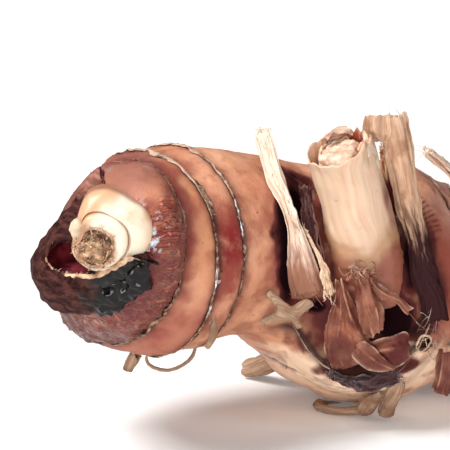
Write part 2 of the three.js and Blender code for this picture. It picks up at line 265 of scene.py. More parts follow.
class Ring:
    """A leaf scar's line round the rootstock, measured from its CAD collar."""

    def __init__(self, node):
        p = points_of(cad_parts[node].data)
        self.centre = (p.min(0) + p.max(0)) / 2
        self.axis = np.linalg.svd(p - self.centre)[2][2]
        self.axis *= np.sign(self.axis[0])
        self.side = np.cross(self.axis, (0, 0, 1))
        self.side /= np.linalg.norm(self.side)
        self.up = np.cross(self.side, self.axis)
        turn, radius, height = self.local(p)
        self.turns = np.linspace(-math.pi, math.pi, 181)
        gap = (turn[None] - self.turns[:, None] + math.pi) % (2 * math.pi) - math.pi
        weight = bell(gap, 0.11)
        self.weight = weight.sum(1)
        self.radii = (weight @ radius) / (self.weight + 1e-9)
        self.heights = (weight @ height) / (self.weight + 1e-9)
        self.there = (self.weight > 0.7).astype(float)

    def local(self, points):
        """Turn about the axis, distance from it, and height along it."""
        away = points - self.centre
        x, y = away @ self.side, away @ self.up
        return np.arctan2(y, x), np.hypot(x, y), away @ self.axis

    def reach(self, points):
        """How far past the line each point lies, and how much it belongs to that line."""
        turn, radius, height = self.local(points)
        past = height - np.interp(turn, self.turns, self.heights)
        off = radius - np.interp(turn, self.turns, self.radii)
        return past, bell(off, 5) * np.interp(turn, self.turns, self.there), turn

    def line(self, turns):
        """Points of the line itself."""
        radius = np.interp(turns, self.turns, self.radii)
        height = np.interp(turns, self.turns, self.heights)
        return (
            self.centre
            + np.outer(radius * np.cos(turns), self.side)
            + np.outer(radius * np.sin(turns), self.up)
            + np.outer(height, self.axis)
        )


RINGS = {
    node: Ring(node)
    for node in (
        "bulb_scar_front", "bulb_scar_middle", "bulb_scar_back", "shoulder_scar",
        "right_scar_near", "right_scar_far", "crown_scar",
    )
}

root_piece = fine_copy("rhizome", "rootstock", 0.436, 23)
mesh = root_piece.data
p = points_of(mesh)
n = normals_of(mesh)
bud = (np.array(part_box("bud_leaf_outer")[0]) + np.array(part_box("bud_leaf_outer")[1])) * 500
past = {node: ring.reach(p) for node, ring in RINGS.items()}
x, y, z = p.T
past_a, past_b, past_c = (past["bulb_scar_" + k][0] for k in ("front", "middle", "back"))
wobble = layered(p, 5, 3)

# Where each kind of skin lies.
round_bud = np.linalg.norm(p - bud, axis=1)
dome = ease(-past_a, -0.6, 0.6)
golden = ease(past_a + 1.5 * wobble, 0.5, 5) * ease(-past_b, -0.3, 0.8) * ease(z + 2 * wobble, 22, 31)
golden *= ease(46 - z + 2 * wobble, 0, 6)
stain = layered(p * (0.6, 0.6, 1), 4.5, 76)
stained = ease(
    stain + np.exp(-np.abs(past_a - 1.5) / 2.5) + 0.5 * np.exp(-np.abs(past_b + 1) / 2), 0.75, 1.5,
)
stained *= ease(z, 18, 26) * ease(-past_c, -1, 1)
brown = (
    dome * np.exp(-np.abs(past_a + 1) / 1.6)
    + ease(-past_c, -12, 0) * ease(past_c, 0, 3) * ease(stain, 0.5, 1.6)
)
wine = ease(past_b, -0.4, 0.4) * ease(-past_c, -0.2, 0.8)
wine *= ease(z + 3 * wobble, 19, 31) * ease(45 - z + 3 * wobble, 0, 11) * ease(-2 - y + 3 * wobble, 0, 12)
wet = dome * ease(wobble * 3 - (z - 38.5) + (x + 36) * 0.9, -3, 4)
low_left = dome * ease(25 - z + wobble * 2, 0, 7)
beside_hood = dome * ease(-x - 43.5 + wobble, 0, 3) + ease(z - 46.5 + wobble * 2, 0, 3) * dome
foot_of_bud = np.array(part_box("bud_leaf_outer")) * 1000
beside_bud = np.linalg.norm(
    (p - [foot_of_bud[1][0] + 0.25, foot_of_bud[0][1], bud[2] - 1.0]) * (1.0, 0.1, 0.26), axis=1,
)
mould = dome * ease(0.62 + 0.7 * layered(p, 0.7, 71) - beside_bud, 0, 0.35)
top_left = ease(z + 1.5 * wobble, 41, 46) * ease(-x - 29 + 2 * wobble, 0, 5) * ease(-past_b, -0.3, 0.8)
# Painted shade low on the golden band between the first two rings.
low_band = ease(past_a, 0, 1.5) * ease(-past_b, -0.3, 0.8) * ease(31 - z + 3.5 * wobble, 0, 9)
# Painted shade, dark red, in the hollow beside the bud under the hood.
cavity = dome * ease(bud[0] - 4.5 - x, 0, 1.5) * ease(bud[2] + 1 - z, 0, 3) * ease(z, 29, 31)
cavity *= ease(-21 - y, 0, 3)
# The belly is pale, and painted paler still for light thrown up from the white table.
belly = ease(17.5 + wobble * 4 - z, 0, 6) * ease(x, -20, -12)
belly *= (0.35 + 0.65 * ease(8 - y, 0, 12)) * (1 - 0.75 * ease(x, 14, 28))
shoulder = ease(x + wobble * 2, 9, 14) * ease(z, 12, 22)
# Painted shade in the skin's hollows, as they lie from the front: middle, half width, half height and depth
# of each.
hollow = np.zeros(len(p))
for at_x, at_z, wide, high, deep in (
    (5.4, 18.6, 4.0, 4.0, 1.0), (-1.4, 21.5, 1.7, 4.2, 0.9), (-11.2, 33.0, 2.6, 9.8, 1.0),
    (-0.3, 18.3, 10.3, 7.4, 0.62),
    (-7.2, 20.8, 2.6, 1.7, 0.85), (8.2, 28.0, 2.0, 6.0, 0.8), (10.4, 14.1, 1.3, 1.3, 1.0),
    (9.3, 16.7, 3.2, 2.4, 0.7),
    (-9.4, 40.5, 2.2, 3.0, 0.55), (11.9, 22.0, 3.0, 6.0, 0.45), (-12.9, 37.0, 1.5, 8.0, 0.75),
    (-12.0, 27.0, 1.7, 6.0, 0.9), (-1.6, 10.9, 5.0, 2.2, 0.75),
    (11.0, 29.0, 1.8, 5.0, 0.6), (7.6, 10.6, 3.2, 1.6, 0.55),
):
    away = ((x - at_x) / wide) ** 2 + ((z - at_z) / high) ** 2
    hollow = np.maximum(hollow, deep * np.exp(-((away * (1 + 0.45 * layered(p, 2.4, 78))) ** 1.4)))
hollow *= ease(1.7 - y, 0, 4)
flushed = ease(x, -17.5, -12.0) * ease(z, 14, 22) * ease(2.7 - y, 0, 6)


def beside(points, line):
    """Distance of each point from a line of points, and how far along the line it lies."""
    line = np.array(line, float)
    best, along, start = np.full(len(points), 1e3), np.zeros(len(points)), 0.0
    for a, b in zip(line, line[1:]):
        span = np.linalg.norm(b - a)
        t = np.clip((points - a) @ (b - a) / span**2, 0, 1)
        off = np.linalg.norm(points - a - t[:, None] * (b - a), axis=1)
        along = np.where(off < best, start + t * span, along)
        best = np.minimum(best, off)
        start += span
    return best, along


# Two cracks, a row of small bites and the shade under the hood, each along a line of written positions.
jog = p + 0.5 * np.stack([lumps(p, 1.3, 81 + k) for k in range(3)], 1)
under_crack = beside(jog, (
    (-19.0, 6.0, 11.5), (-14.5, 1.8, 9.6), (-11.2, -1.1, 8.5), (-8.0, -3.7, 7.7), (-4.8, -6.1, 7.0),
    (2.9, -7.4, 7.2), (7.0, -6.0, 7.6),
))[0]
top_crack = beside(
    jog,
    (
        (10.0, 14.0, 38.2), (11.9, 11.0, 37.9), (13.0, 8.0, 36.9), (14.1, 6.2, 35.5), (14.9, 4.8, 34.1),
        (15.6, 3.0, 31.0),
    ),
)[0]
comb_off, comb_along = beside(
    p, ((9.3, 1.2, 36.0), (10.5, 0.6, 34.7), (11.6, -0.1, 33.3), (12.4, -1.0, 31.3)),
)
comb = ease(1.7 - comb_off, 0, 0.6) * ease(
    np.cos(comb_along * 2 * math.pi / 0.85 + lumps(p, 2, 84)), 0.0, 0.9,
)
crack = np.maximum(bell(under_crack, 0.38), bell(top_crack, 0.5))
crack_edge = bell(np.minimum(under_crack, top_crack) - 0.8, 0.35)
blush = ease(x + wobble, 8, 12) * ease(35 - z + wobble, 0, 3) * ease(z + 2 * wobble, 10, 18)
blush *= ease(27 - x + 3 * wobble, 0, 10) * ease(7 - y + 2 * wobble, 0, 9)
under_hood = beside(jog, (
    (-33.2, -31.5, 33.3), (-33.1, -30.6, 29.5), (-35.2, -29.1, 26.3), (-38.3, -27.2, 24.4),
    (-42.0, -27.0, 24.5),
))[0]
line, halo = np.zeros(len(p)), bell(under_hood, 3.2)
blotch = np.clip(0.8 + 0.55 * layered(p, 2.2, 90), 0, 1)
shape = 0.30 * layered(p, 10, 11) + 0.10 * layered(p, 3.2, 21) + 0.03 * lumps(p, 1.1, 31)
for node, (far, near, turn) in past.items():
    ragged = far + 0.35 * lumps(p, 1.8, 41)
    line = np.maximum(line, near * bell(ragged, 0.8))
    if node.startswith("bulb"):
        reach = 2.8 if node == "bulb_scar_front" else 1.7
        halo = np.maximum(halo, near * blotch * bell(np.abs(far), reach, 1.6))
    deep = 0.55 if node.startswith("bulb") and node != "bulb_scar_front" else 0.3
    shape -= deep * near * np.sign(far) * np.exp(-np.abs(far) / 2.2) * ease(np.abs(far), 0, 0.7)
    shape -= 0.35 * near * bell(ragged, 0.6)
    creases = lumps(np.stack([far, turn * 9, far * 0], 1), 0.9, 51)
    shape += 0.05 * near * bell(far, 6) * creases

shape -= 0.45 * crack + 0.22 * comb
shape += 0.18 * crack_edge

# Short wrinkles run out from the bud, where the skin is wet.
axis = RINGS["bulb_scar_front"].axis
out = (p - bud) - np.outer((p - bud) @ axis, axis)
turn_bud = np.arctan2(out @ RINGS["bulb_scar_front"].up, out @ RINGS["bulb_scar_front"].side)
spread = np.linalg.norm(out, axis=1)
polar = np.stack([turn_bud * 12 + 1.6 * wobble, spread / 0.6 + 2.5 * wobble, 0 * spread], 1)
wrinkle = 1 - np.abs(lumps(polar, 1.45, 61)) * 2.4
shape += (wet * 0.24 * wrinkle + wet * 0.26 * layered(p, 1.35, 86)) * ease(round_bud, 5, 8)
shape += 0.22 * top_left * layered(p, 1.6, 88)
p = p + n * (shape * ease(z, 0.0, 2.5))[:, None]
write_points(mesh, p)
cut = ease(p[:, 0], 47, 49) * ease(relaxed(n, edges_of(mesh), 4)[:, 0], 0.55, 0.85)
face = p[cut > 0.5]
from_middle = np.hypot(p[:, 1] - face[:, 1].mean(), p[:, 2] - face[:, 2].mean()) / np.ptp(face[:, 2]) * 2
cut_ring = cut * bell(from_middle + 0.04 * wobble - 0.66, 0.05)
keep(
    mesh, dome=dome, golden=golden, wine=wine, wet=wet, bruised=low_left, hooded=np.clip(beside_hood, 0, 1),
    stained=np.maximum(stained, 0.8 * low_band), brown=np.clip(brown, 0, 1), belly=belly,
    shoulder=shoulder, mould=mould, cavity=cavity, hollow=hollow, flushed=flushed,
    crack=np.clip(crack + 0.8 * comb, 0, 1), crack_edge=crack_edge,
    blush=blush, halo=np.clip(halo, 0, 1), top_left=top_left,
    scar_line=line, cut=cut, cut_ring=cut_ring, polar=polar,
)


def new_material(name):
    material = bpy.data.materials.new(name)
    material.use_nodes = True
    tree = material.node_tree
    tree.nodes.clear()
    return material, tree


def field(tree, name, output="Fac"):
    return add(tree, "Attribute", {"attribute_name": name}).outputs[output]


def blend(tree, share, first, second):
    """The second colour over the first, by the share."""
    made = add(tree, "Mix", {"data_type": "RGBA"}, Factor=share)
    for index, value in ((6, first), (7, second)):
        if isinstance(value, bpy.types.NodeSocket):
            tree.links.new(value, made.inputs[index])
        else:
            made.inputs[index].default_value = (*value, 1)
    return made.outputs[2]


def painted(tree, colour, *coats):
    """Colours over one another, each by its mask (a link or a stored field's name) times its share."""
    for mask, share, over in coats:
        mask = field(tree, mask) if isinstance(mask, str) else mask
        colour = blend(tree, mask if share == 1 else maths(tree, "MULTIPLY", mask, share), colour, over)
    return colour


def maths(tree, operation, first, second=0.0, clamp=False):
    made = add(tree, "Math", {"operation": operation, "use_clamp": clamp}, _0=first, _1=second)
    return made.outputs[0]


def rise(tree, value, low, high):
    """0 to 1 as the value goes from low to high."""
    return add(
        tree, "MapRange", {"interpolation_type": "SMOOTHSTEP"}, Value=value, From_Min=low, From_Max=high
    ).outputs[0]


def speckle(tree, scale, detail=3.0, where=None, rough=0.55):
    noise = add(tree, "TexNoise", Scale=scale, Detail=detail, Roughness=rough)
    if where is None:
        where = add(tree, "TexCoord").outputs["Object"]
    tree.links.new(where, noise.inputs["Vector"])
    return noise.outputs["Fac"]


def surface(tree, colour, rough, height=None, strength=0.3, distance=0.0003, **more):
    """The finished surface, with a bump from the height."""
    made = add(tree, "BsdfPrincipled", Roughness=rough, **more)
    if isinstance(colour, bpy.types.NodeSocket):
        tree.links.new(colour, made.inputs["Base Color"])
    if height is not None:
        bump = add(tree, "Bump", Strength=strength, Distance=distance, Height=height)
        tree.links.new(bump.outputs[0], made.inputs["Normal"])
    add(tree, "OutputMaterial", Surface=made.outputs[0])
    return made


skin, t = new_material("galangal skin")
broad = speckle(t, 95, 4)
patchy = speckle(t, 260, 5)
pores = speckle(t, 1500, 3)
folds = speckle(t, 0.8, 3, field(t, "polar", "Vector"))
colour = blend(t, rise(t, broad, 0.35, 0.7), (0.72, 0.365, 0.22), (0.52, 0.215, 0.12))
colour = painted(
    t, colour,
    # Pale belly with painted light from the table.
    ("belly", 0.92, (1.0, 0.74, 0.53)),
    ("shoulder", 0.8, (0.33, 0.19, 0.155)),
    ("golden", 0.75, (0.60, 0.27, 0.13)),
    ("dome", 0.8, (0.46, 0.175, 0.10)),
    (rise(t, patchy, 0.46, 0.66), 0.6, (0.34, 0.10, 0.06)),
)
wet = field(t, "wet")
creased = maths(t, "ABSOLUTE", maths(t, "SUBTRACT", folds, 0.5))
colour = painted(
    t, colour,
    (wet, rise(t, patchy, 0.3, 0.6), (0.33, 0.072, 0.045)),
    # Painted shade in the wet creases and a painted highlight on their ridges.
    (wet, rise(t, creased, 0.06, 0.0), (0.11, 0.012, 0.011)),
    (wet, maths(t, "MULTIPLY", rise(t, creased, 0.11, 0.22), 0.75), (0.68, 0.30, 0.20)),
    ("wine", rise(t, patchy, 0.25, 0.55), (0.21, 0.012, 0.014)),
    # Stains, and the painted shade low on the golden band.
    ("stained", 0.8, (0.27, 0.060, 0.045)),
    ("brown", 0.7, (0.19, 0.060, 0.042)),
    # Darker towards the bottom of the dome.
    ("bruised", 0.8, (0.145, 0.050, 0.042)),
    ("hooded", 0.85, (0.13, 0.045, 0.034)),
    ("top_left", 0.9, (0.30, 0.120, 0.085)),
)
# Painted pale lilac highlights in patches on the top left.
lilac = maths(t, "MULTIPLY", field(t, "top_left"), rise(t, patchy, 0.52, 0.64))
colour = painted(
    t, colour,
    (lilac, 0.35, (0.42, 0.27, 0.25)),
    ("flushed", rise(t, patchy, 0.25, 0.6), (0.24, 0.055, 0.045)),
    ("blush", 0.85, (0.27, 0.062, 0.038)),
    ("halo", 0.9, (0.16, 0.026, 0.024)),
)
dots = rise(t, speckle(t, 900, 2), 0.72, 0.76)
colour = painted(
    t, colour,
    (dots, 0.7, (0.20, 0.050, 0.030)),
    # Painted shade in the hollows, near black where deepest.
    (rise(t, field(t, "hollow"), 0.12, 0.42), 1, (0.105, 0.022, 0.020)),
    (rise(t, field(t, "hollow"), 0.40, 0.75), 1, (0.010, 0.003, 0.004)),
)
# Pale crack lips, partly their own colour and partly a painted highlight.
edge = maths(t, "MULTIPLY", field(t, "crack_edge"), rise(t, patchy, 0.5, 0.62))
colour = painted(
    t, colour,
    (edge, 1, (0.66, 0.55, 0.48)),
    ("crack", 1, (0.070, 0.018, 0.014)),
    ("scar_line", 1, (0.050, 0.018, 0.013)),
    # Painted shade, dark red, in the hollow beside the bud.
    ("cavity", 1, (0.10, 0.006, 0.012)),
    ("mould", 1, (0.62, 0.66, 0.72)),
)
flesh_cut = blend(t, rise(t, pores, 0.55, 0.70), (0.74, 0.52, 0.33), (0.52, 0.30, 0.17))
flesh_cut = blend(t, maths(t, "MULTIPLY", field(t, "cut_ring"), 0.7), flesh_cut, (0.48, 0.25, 0.13))
colour = blend(t, field(t, "cut"), colour, flesh_cut)
rough = maths(t, "SUBTRACT", 0.5, maths(t, "MULTIPLY", wet, 0.22))
wet_folds = maths(t, "MULTIPLY", maths(t, "MULTIPLY", wet, rise(t, creased, 0.0, 0.16)), 3.6)
bumps = maths(t, "ADD", maths(t, "ADD", maths(t, "MULTIPLY", pores, 0.35), patchy), wet_folds)
skin_surface = surface(
    t, colour, rough, bumps, 0.6, 0.0005, Subsurface_Weight=0.08, Subsurface_Scale=0.002,
)
dry = maths(t, "SUBTRACT", 0.13, maths(t, "MULTIPLY", field(t, "hollow"), 0.16), clamp=True)
t.links.new(dry, skin_surface.inputs["Specular IOR Level"])
t.links.new(maths(t, "MULTIPLY", wet, 0.5), skin_surface.inputs["Coat Weight"])
skin_surface.inputs["Coat Roughness"].default_value = 0.06
skin_surface.inputs["Subsurface Radius"].default_value = (1, 0.35, 0.2)
finish_piece(root_piece, skin, "rhizome_skin", "rhizome")

# ---- Leaf scars ----------------------------------------------------------------------------------
# Where each scale leaf fell off, its torn foot stays as a ragged brown fringe that follows the line
# round the rootstock. Short fibres stand in it, and here and there it is white with mould.


def unit(vectors):
    return vectors / (np.linalg.norm(vectors, axis=-1, keepdims=True) + 1e-9)


def sheet(grid, thick):
    """A thin closed piece on a grid of points; thick is its thickness, which may vary."""
    rows, columns = grid.shape[:2]
    along, over = np.gradient(grid, axis=0), np.gradient(grid, axis=1)
    normal = unit(np.cross(along, over))
    half = np.broadcast_to(thick, (rows, columns))[..., None] / 2 * normal
    index = np.arange(rows * columns).reshape(rows, columns)
    quads = np.stack([index[:-1, :-1], index[1:, :-1], index[1:, 1:], index[:-1, 1:]], -1).reshape(-1, 4)
    rim = np.concatenate([index[0, :-1], index[:-1, -1], index[-1, :0:-1], index[:0:-1, 0]])
    ahead = np.roll(rim, -1)
    under = rows * columns
    sides = np.stack([rim, ahead, ahead + under, rim + under], 1)
    faces = np.concatenate([quads, quads[:, ::-1] + under, sides])
    return np.concatenate([(grid + half).reshape(-1, 3), (grid - half).reshape(-1, 3)]), faces


def new_piece(name, parts, **fields):
    """One piece from several (points, faces) parts, with values for the material at its points."""
    points = np.concatenate([part[0] for part in parts])
    faces, start = [], 0
    for part in parts:
        faces += [[int(i) + start for i in face] for face in part[1]]
        start += len(part[0])
    mesh = bpy.data.meshes.new(name)
    mesh.from_pydata((points / 1000).tolist(), [], faces)
    mesh.shade_smooth()
    keep(mesh, **fields)
    piece = bpy.data.objects.new(name, mesh)
    scene.collection.objects.link(piece)
    return piece


def strand(path, thick, sides=4):
    """A fibre along a path, thickest at its foot and pointed at its tip."""
    path = np.asarray(path, float)
    ahead = unit(np.gradient(path, axis=0))
    side = unit(np.cross(ahead, (0.3, 0.2, 0.93)))
    up = np.cross(side, ahead)
    turn = np.arange(sides) * 2 * math.pi / sides
    size = thick / 2 * np.linspace(1, 0.3, len(path))[:, None, None]
    round_it = side[:, None] * np.cos(turn)[None, :, None] + up[:, None] * np.sin(turn)[None, :, None]
    points = (path[:, None] + round_it * size).reshape(-1, 3)
    faces = []
    for row in range(len(path) - 1):
        for k in range(sides):
            a, b = row * sides + k, row * sides + (k + 1) % sides
            faces.append((a, b, b + sides, a + sides))
    faces.append(tuple(range(sides))[::-1])
    faces.append(tuple(range(len(points) - sides, len(points))))
    return points, faces


skin_tree = BVHTree.FromPolygons(
    [Vector(v) for v in points_of(root_piece.data)], [tuple(f.vertices) for f in root_piece.data.polygons]
)


def onto_skin(points, lift):
    """The points laid on the skin, each lifted off it."""
    flat = points.reshape(-1, 3)
    lifts = np.broadcast_to(lift, points.shape[:-1]).ravel()
    laid = []
    for point, up in zip(flat, lifts):
        at, normal, *_ = skin_tree.find_nearest(Vector(point))
        laid.append(at + normal * up)
    return np.array(laid).reshape(points.shape)


def fringe(node, seed, wide=1.0, stand=0.32, flap=None):
    """The torn foot of a fallen scale leaf, with its fibres."""
    ring = RINGS[node]
    chance = np.random.default_rng(seed)
    turns = np.linspace(-math.pi, math.pi, 361)
    there = np.interp(turns, ring.turns, ring.there) > 0.5
    clear_of_table = 0.15
    line = ring.line(turns)
    fake = np.stack([np.cos(turns) * 15, np.sin(turns) * 15, np.full(len(turns), seed * 7.0)], 1)
    left = wide * (0.55 + 0.5 * lumps(fake, 2.2, seed) + 0.25 * lumps(fake, 0.6, seed + 1))
    right = wide * (0.40 + 0.3 * lumps(fake, 2.9, seed + 2) + 0.2 * lumps(fake, 0.5, seed + 3))
    lift = stand * (0.7 + 0.5 * lumps(fake, 1.7, seed + 4) + 0.4 * lumps(fake, 0.6, seed + 5))
    shift = 0.35 * lumps(fake, 1.8, 41)
    if flap:
        start, end, long = flap
        torn = ease(turns, start, start + 0.15) * ease(-turns, -end, -end + 0.25)
        torn *= 0.65 + 0.35 * lumps(fake, 0.9, seed + 8)
        left = left + long * torn
        lift = lift * (1 - 0.4 * torn) + 0.25 * torn
    parts, ends = [], []
    runs = np.split(np.arange(len(turns)), np.flatnonzero(np.diff(there.astype(int))) + 1)
    for run in runs:
        if not there[run[0]] or len(run) < 4:
            continue
        share = np.array([-1, -0.8, -0.6, -0.4, -0.2, 0, 0.5, 1])
        offset = np.where(share < 0, share * left[run, None], share * right[run, None]) - shift[run, None]
        grid = line[run][:, None] + offset[..., None] * ring.axis
        up = lift[run, None] * np.array([0.5, 0.75, 0.9, 1.0, 1.0, 0.9, 0.6, 0.1]) + 0.02
        grid = onto_skin(grid, up)
        grid[..., 2] = np.maximum(grid[..., 2], clear_of_table)
        parts.append(sheet(grid, 0.13))
    count = int(there.sum() * 0.6)
    for k in chance.choice(np.flatnonzero(there), count):
        foot = line[k] + ring.axis * chance.uniform(-0.5, 0.5) * wide
        lean = (
            ring.axis * chance.normal(0, 1)
            + (line[(k + 3) % len(turns)] - line[k]) * chance.normal(0, 1.2)
        )
        lean /= np.linalg.norm(lean) + 1e-9
        steps = np.linspace(0, chance.uniform(0.3, 1.0), 4)
        path = onto_skin(foot + np.outer(steps, lean), 0.12 + steps * chance.uniform(0.05, 0.35))
        path[:, 2] = np.maximum(path[:, 2], clear_of_table)
        parts.append(strand(path, chance.uniform(0.07, 0.16)))
    height = np.concatenate([part[0][:, 2] for part in parts])
    mouldy = (
        ease(height, 21, 26) * ease(42 - height, 0, 4) if node != "bulb_scar_front" else 0.15 + 0 * height
    )
    papery = ease(height, 39, 44) + ease(19 - height, 0, 5)
    papery = papery * (0.3 if node == "bulb_scar_front" else 1)
    piece = new_piece(node.replace("scar", "fringe"), parts, mouldy=mouldy, papery=papery)
    finish_piece(piece, torn_foot, "leaf_scar", node)


torn_foot, t = new_material("torn leaf foot")
colour = blend(t, rise(t, speckle(t, 700, 4), 0.34, 0.62), (0.055, 0.020, 0.014), (0.36, 0.20, 0.125))
colour = blend(
    t, maths(t, "MULTIPLY", rise(t, speckle(t, 1500, 3), 0.55, 0.66), 0.6), colour, (0.60, 0.46, 0.34),
)
paper = maths(t, "MULTIPLY", rise(t, speckle(t, 260, 4), 0.40, 0.58), field(t, "papery"))
colour = blend(t, maths(t, "MULTIPLY", paper, 0.85), colour, (0.60, 0.44, 0.33))
beads = maths(
    t, "MULTIPLY", rise(t, speckle(t, 190, 2), 0.54, 0.60), rise(t, speckle(t, 800, 3), 0.38, 0.50),
)
flecks = maths(t, "MULTIPLY", beads, field(t, "mouldy"))
colour = blend(t, flecks, colour, (0.78, 0.79, 0.81))
surface(t, colour, 0.8, speckle(t, 2500, 3), 0.5, 0.0003, Specular_IOR_Level=0.2)
for number, node in enumerate(RINGS):
    wide, flap = {
        "bulb_scar_middle": (1.05, (1.1, 2.0, 1.5)),
        "bulb_scar_back": (1.0, (1.2, 1.9, 1.6)),
    }.get(node, (0.5, None))
    stand = 0.2 if node == "bulb_scar_front" else 0.32
    fringe(node, 100 + 10 * number, wide, stand, flap=flap)

# ---- Bud -----------------------------------------------------------------------------------------
# One fat cream leaf lies inside another round a broken brown core. The dead outer leaf stands over
# them as a dark hood: dry and streaked behind, black and wet in front, with a thin pale torn rim.


def around_axis(points, centre, axis):
    """Turn, distance and height of each point about an axis."""
    axis = np.asarray(axis, float) / np.linalg.norm(axis)
    side = np.cross(axis, (0, 0, 1))
    side /= np.linalg.norm(side)
    up = np.cross(side, axis)
    away = points - centre
    return np.arctan2(away @ up, away @ side), np.hypot(away @ side, away @ up), away @ axis


def spline(points, count):
    """Points spaced along a smooth curve through the given ones."""
    q = np.asarray(points, float)
    q = np.concatenate([[2 * q[0] - q[1]], q, [2 * q[-1] - q[-2]]])
    share = np.linspace(0, len(q) - 3 - 1e-6, count)
    k = share.astype(int)
    t = (share - k)[:, None]
    a, b, c, d = q[k], q[k + 1], q[k + 2], q[k + 3]
    return 0.5 * (2 * b + (c - a) * t + (2 * a - 5 * b + 4 * c - d) * t**2 + (3 * b - a - 3 * c + d) * t**3)


bud_axis = np.array((-0.06, -0.995, 0.08))


def loft(stations, seed, flatter, rough=0.1, around=120, rows=46):
    """A closed round body through stations of (x, y, z, radius), nearly facing the viewer."""
    stations = np.array(stations, float)
    share = np.linspace(0, 1, len(stations))
    fine = np.linspace(0, 1, rows)
    place = np.stack([np.interp(fine, share, stations[:, k]) for k in range(4)], 1)
    for _ in range(6):
        place[1:-1] = 0.5 * place[1:-1] + 0.25 * (place[2:] + place[:-2])
    turn = np.arange(around) * 2 * math.pi / around
    radius = place[:, None, 3] * (1 - flatter * bell(turn - 1.0, 0.42) + 0.3 * flatter * np.cos(3 * turn))
    grid = np.stack([
        place[:, None, 0] + radius * np.cos(turn),
        np.broadcast_to(place[:, None, 1], (rows, around)),
        place[:, None, 2] + radius * np.sin(turn),
    ], -1)
    flat = grid.reshape(-1, 3)
    out = flat - np.repeat(place[:, None, :3], around, 1).reshape(-1, 3)
    out = unit(out)
    out[:, 1] -= 0.5
    flat = flat + out * (rough * layered(flat, 3.5, seed) + 0.03 * lumps(flat, 0.8, seed + 5))[:, None]
    faces = []
    for row in range(rows - 1):
        for k in range(around):
            a, b = row * around + k, row * around + (k + 1) % around
            faces.append((a, b, b + around, a + around))
    faces.append(tuple(range(around))[::-1])
    faces.append(tuple(range((rows - 1) * around, rows * around)))
    polar = np.stack([np.tile(turn, rows) * 5, np.repeat(fine, around) * 9, np.zeros(rows * around)], 1)
    return flat, faces, np.repeat(fine, around), polar


def leaf_box(node):
    """Middle, radius, front and back of a bud leaf."""
    low, high = (np.array(v) * 1000 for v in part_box(node))
    return (low[0] + high[0]) / 2, (low[2] + high[2]) / 2, (high[0] - low[0]) / 2, low[1], high[1]


ox, oz, orad, ofront, oback = leaf_box("bud_leaf_outer")
ix, iz, irad, ifront, _ = leaf_box("bud_leaf_inner")
cx, cz, crad, cfront, _ = leaf_box("bud_core")
cream, t = new_material("cream bud leaf")
streak = speckle(t, 3.0, 3, field(t, "polar", "Vector"))
soft = speckle(t, 170, 3)
colour = blend(t, rise(t, soft, 0.50, 0.78), (0.86, 0.73, 0.57), (0.70, 0.45, 0.27))
colour = painted(
    t, colour,
    (rise(t, streak, 0.5, 0.8), 0.3, (0.62, 0.38, 0.22)),
    ("tan", 1, (0.60, 0.30, 0.15)),
    # Browner towards the core.
    ("soiled", rise(t, speckle(t, 600, 4), 0.3, 0.62), (0.34, 0.17, 0.09)),
    ("foot", 0.8, (0.36, 0.14, 0.08)),
    ("rim", 0.8, (0.42, 0.21, 0.11)),
)
surface(
    t, colour, 0.38, maths(t, "ADD", soft, maths(t, "MULTIPLY", streak, 0.3)), 0.25, 0.0004,
    Subsurface_Weight=0.2, Subsurface_Scale=0.002, Specular_IOR_Level=0.4,
)
for node, stations, seed in (
    ("bud_leaf_outer", (
        (ox, oback, oz, orad - 0.3), (ox, ofront + 5, oz, orad), (ox, ofront + 3, oz, orad + 0.1),
        (ox - 0.1, ofront + 1.6, oz, orad - 0.35), (ox - 0.5, ofront + 0.7, oz - 0.2, orad - 1.1),
        (ox - 0.9, ofront + 0.15, oz - 0.4, orad - 1.8), (ix + 0.05, ofront, iz, irad - 0.25),
        (ix, ofront + 0.25, iz, irad - 0.50), (ix, ofront + 0.9, iz, irad - 0.6),
    ), 200),
    ("bud_leaf_inner", (
        (ix, ofront + 2.5, iz, irad - 0.5), (ix, ofront + 0.6, iz, irad - 0.42),
        (ix, ofront - 0.3, iz, irad - 0.5),
        (ix - 0.2, ofront - 0.9, iz - 0.2, irad - 1.0), (cx + 0.4, ifront + 0.5, cz + 0.6, crad + 0.5),
        (cx + 0.2, ifront + 0.4, cz + 0.3, crad), (cx, ifront + 0.5, cz, crad - 0.2),
        (cx, ifront + 2, cz, crad - 0.5),
    ), 210),
):
    flat, faces, share, polar = loft(stations, seed, 0.085 if node == "bud_leaf_outer" else 0.03)
    lip = 0.80 if node == "bud_leaf_outer" else 0.74
    away = flat - (ox, 0, oz)
    flat[:, 0] += 1.25 * ease(-away[:, 0], 2.5, 6.5) * ease(away[:, 2], -4.0, 1.0)
    round_core = np.hypot(flat[:, 0] - cx, flat[:, 2] - cz) + 0.5 * layered(flat, 1.6, seed + 4)
    top_left = ease(-away[:, 0] * 0.8 + away[:, 2] * 0.7 + 1.2 * lumps(flat, 2, seed + 9), 2.2, 4.4)
    piece = new_piece(
        node.replace("bud_leaf_", "bud_") + "_leaf", [(flat, faces)], polar=polar,
        rim=bell(share - lip, 0.025) * ease(np.cos(polar[:, 0] / 5 - 0.7), -0.3, 0.5),
        foot=1 - ease(share, 0.22, 0.34),
        tan=np.clip(
            top_left * 0.85 + 0.7 * ease(away[:, 0] + 0.6 * lumps(flat, 1.5, seed + 8), 4.6, 6.6), 0, 1,
        ),
        soiled=ease(4.1 - round_core - 0.35 * away[:, 0] / 2, 0, 1.6),
    )
    finish_piece(piece, cream, "bud_leaf", node)

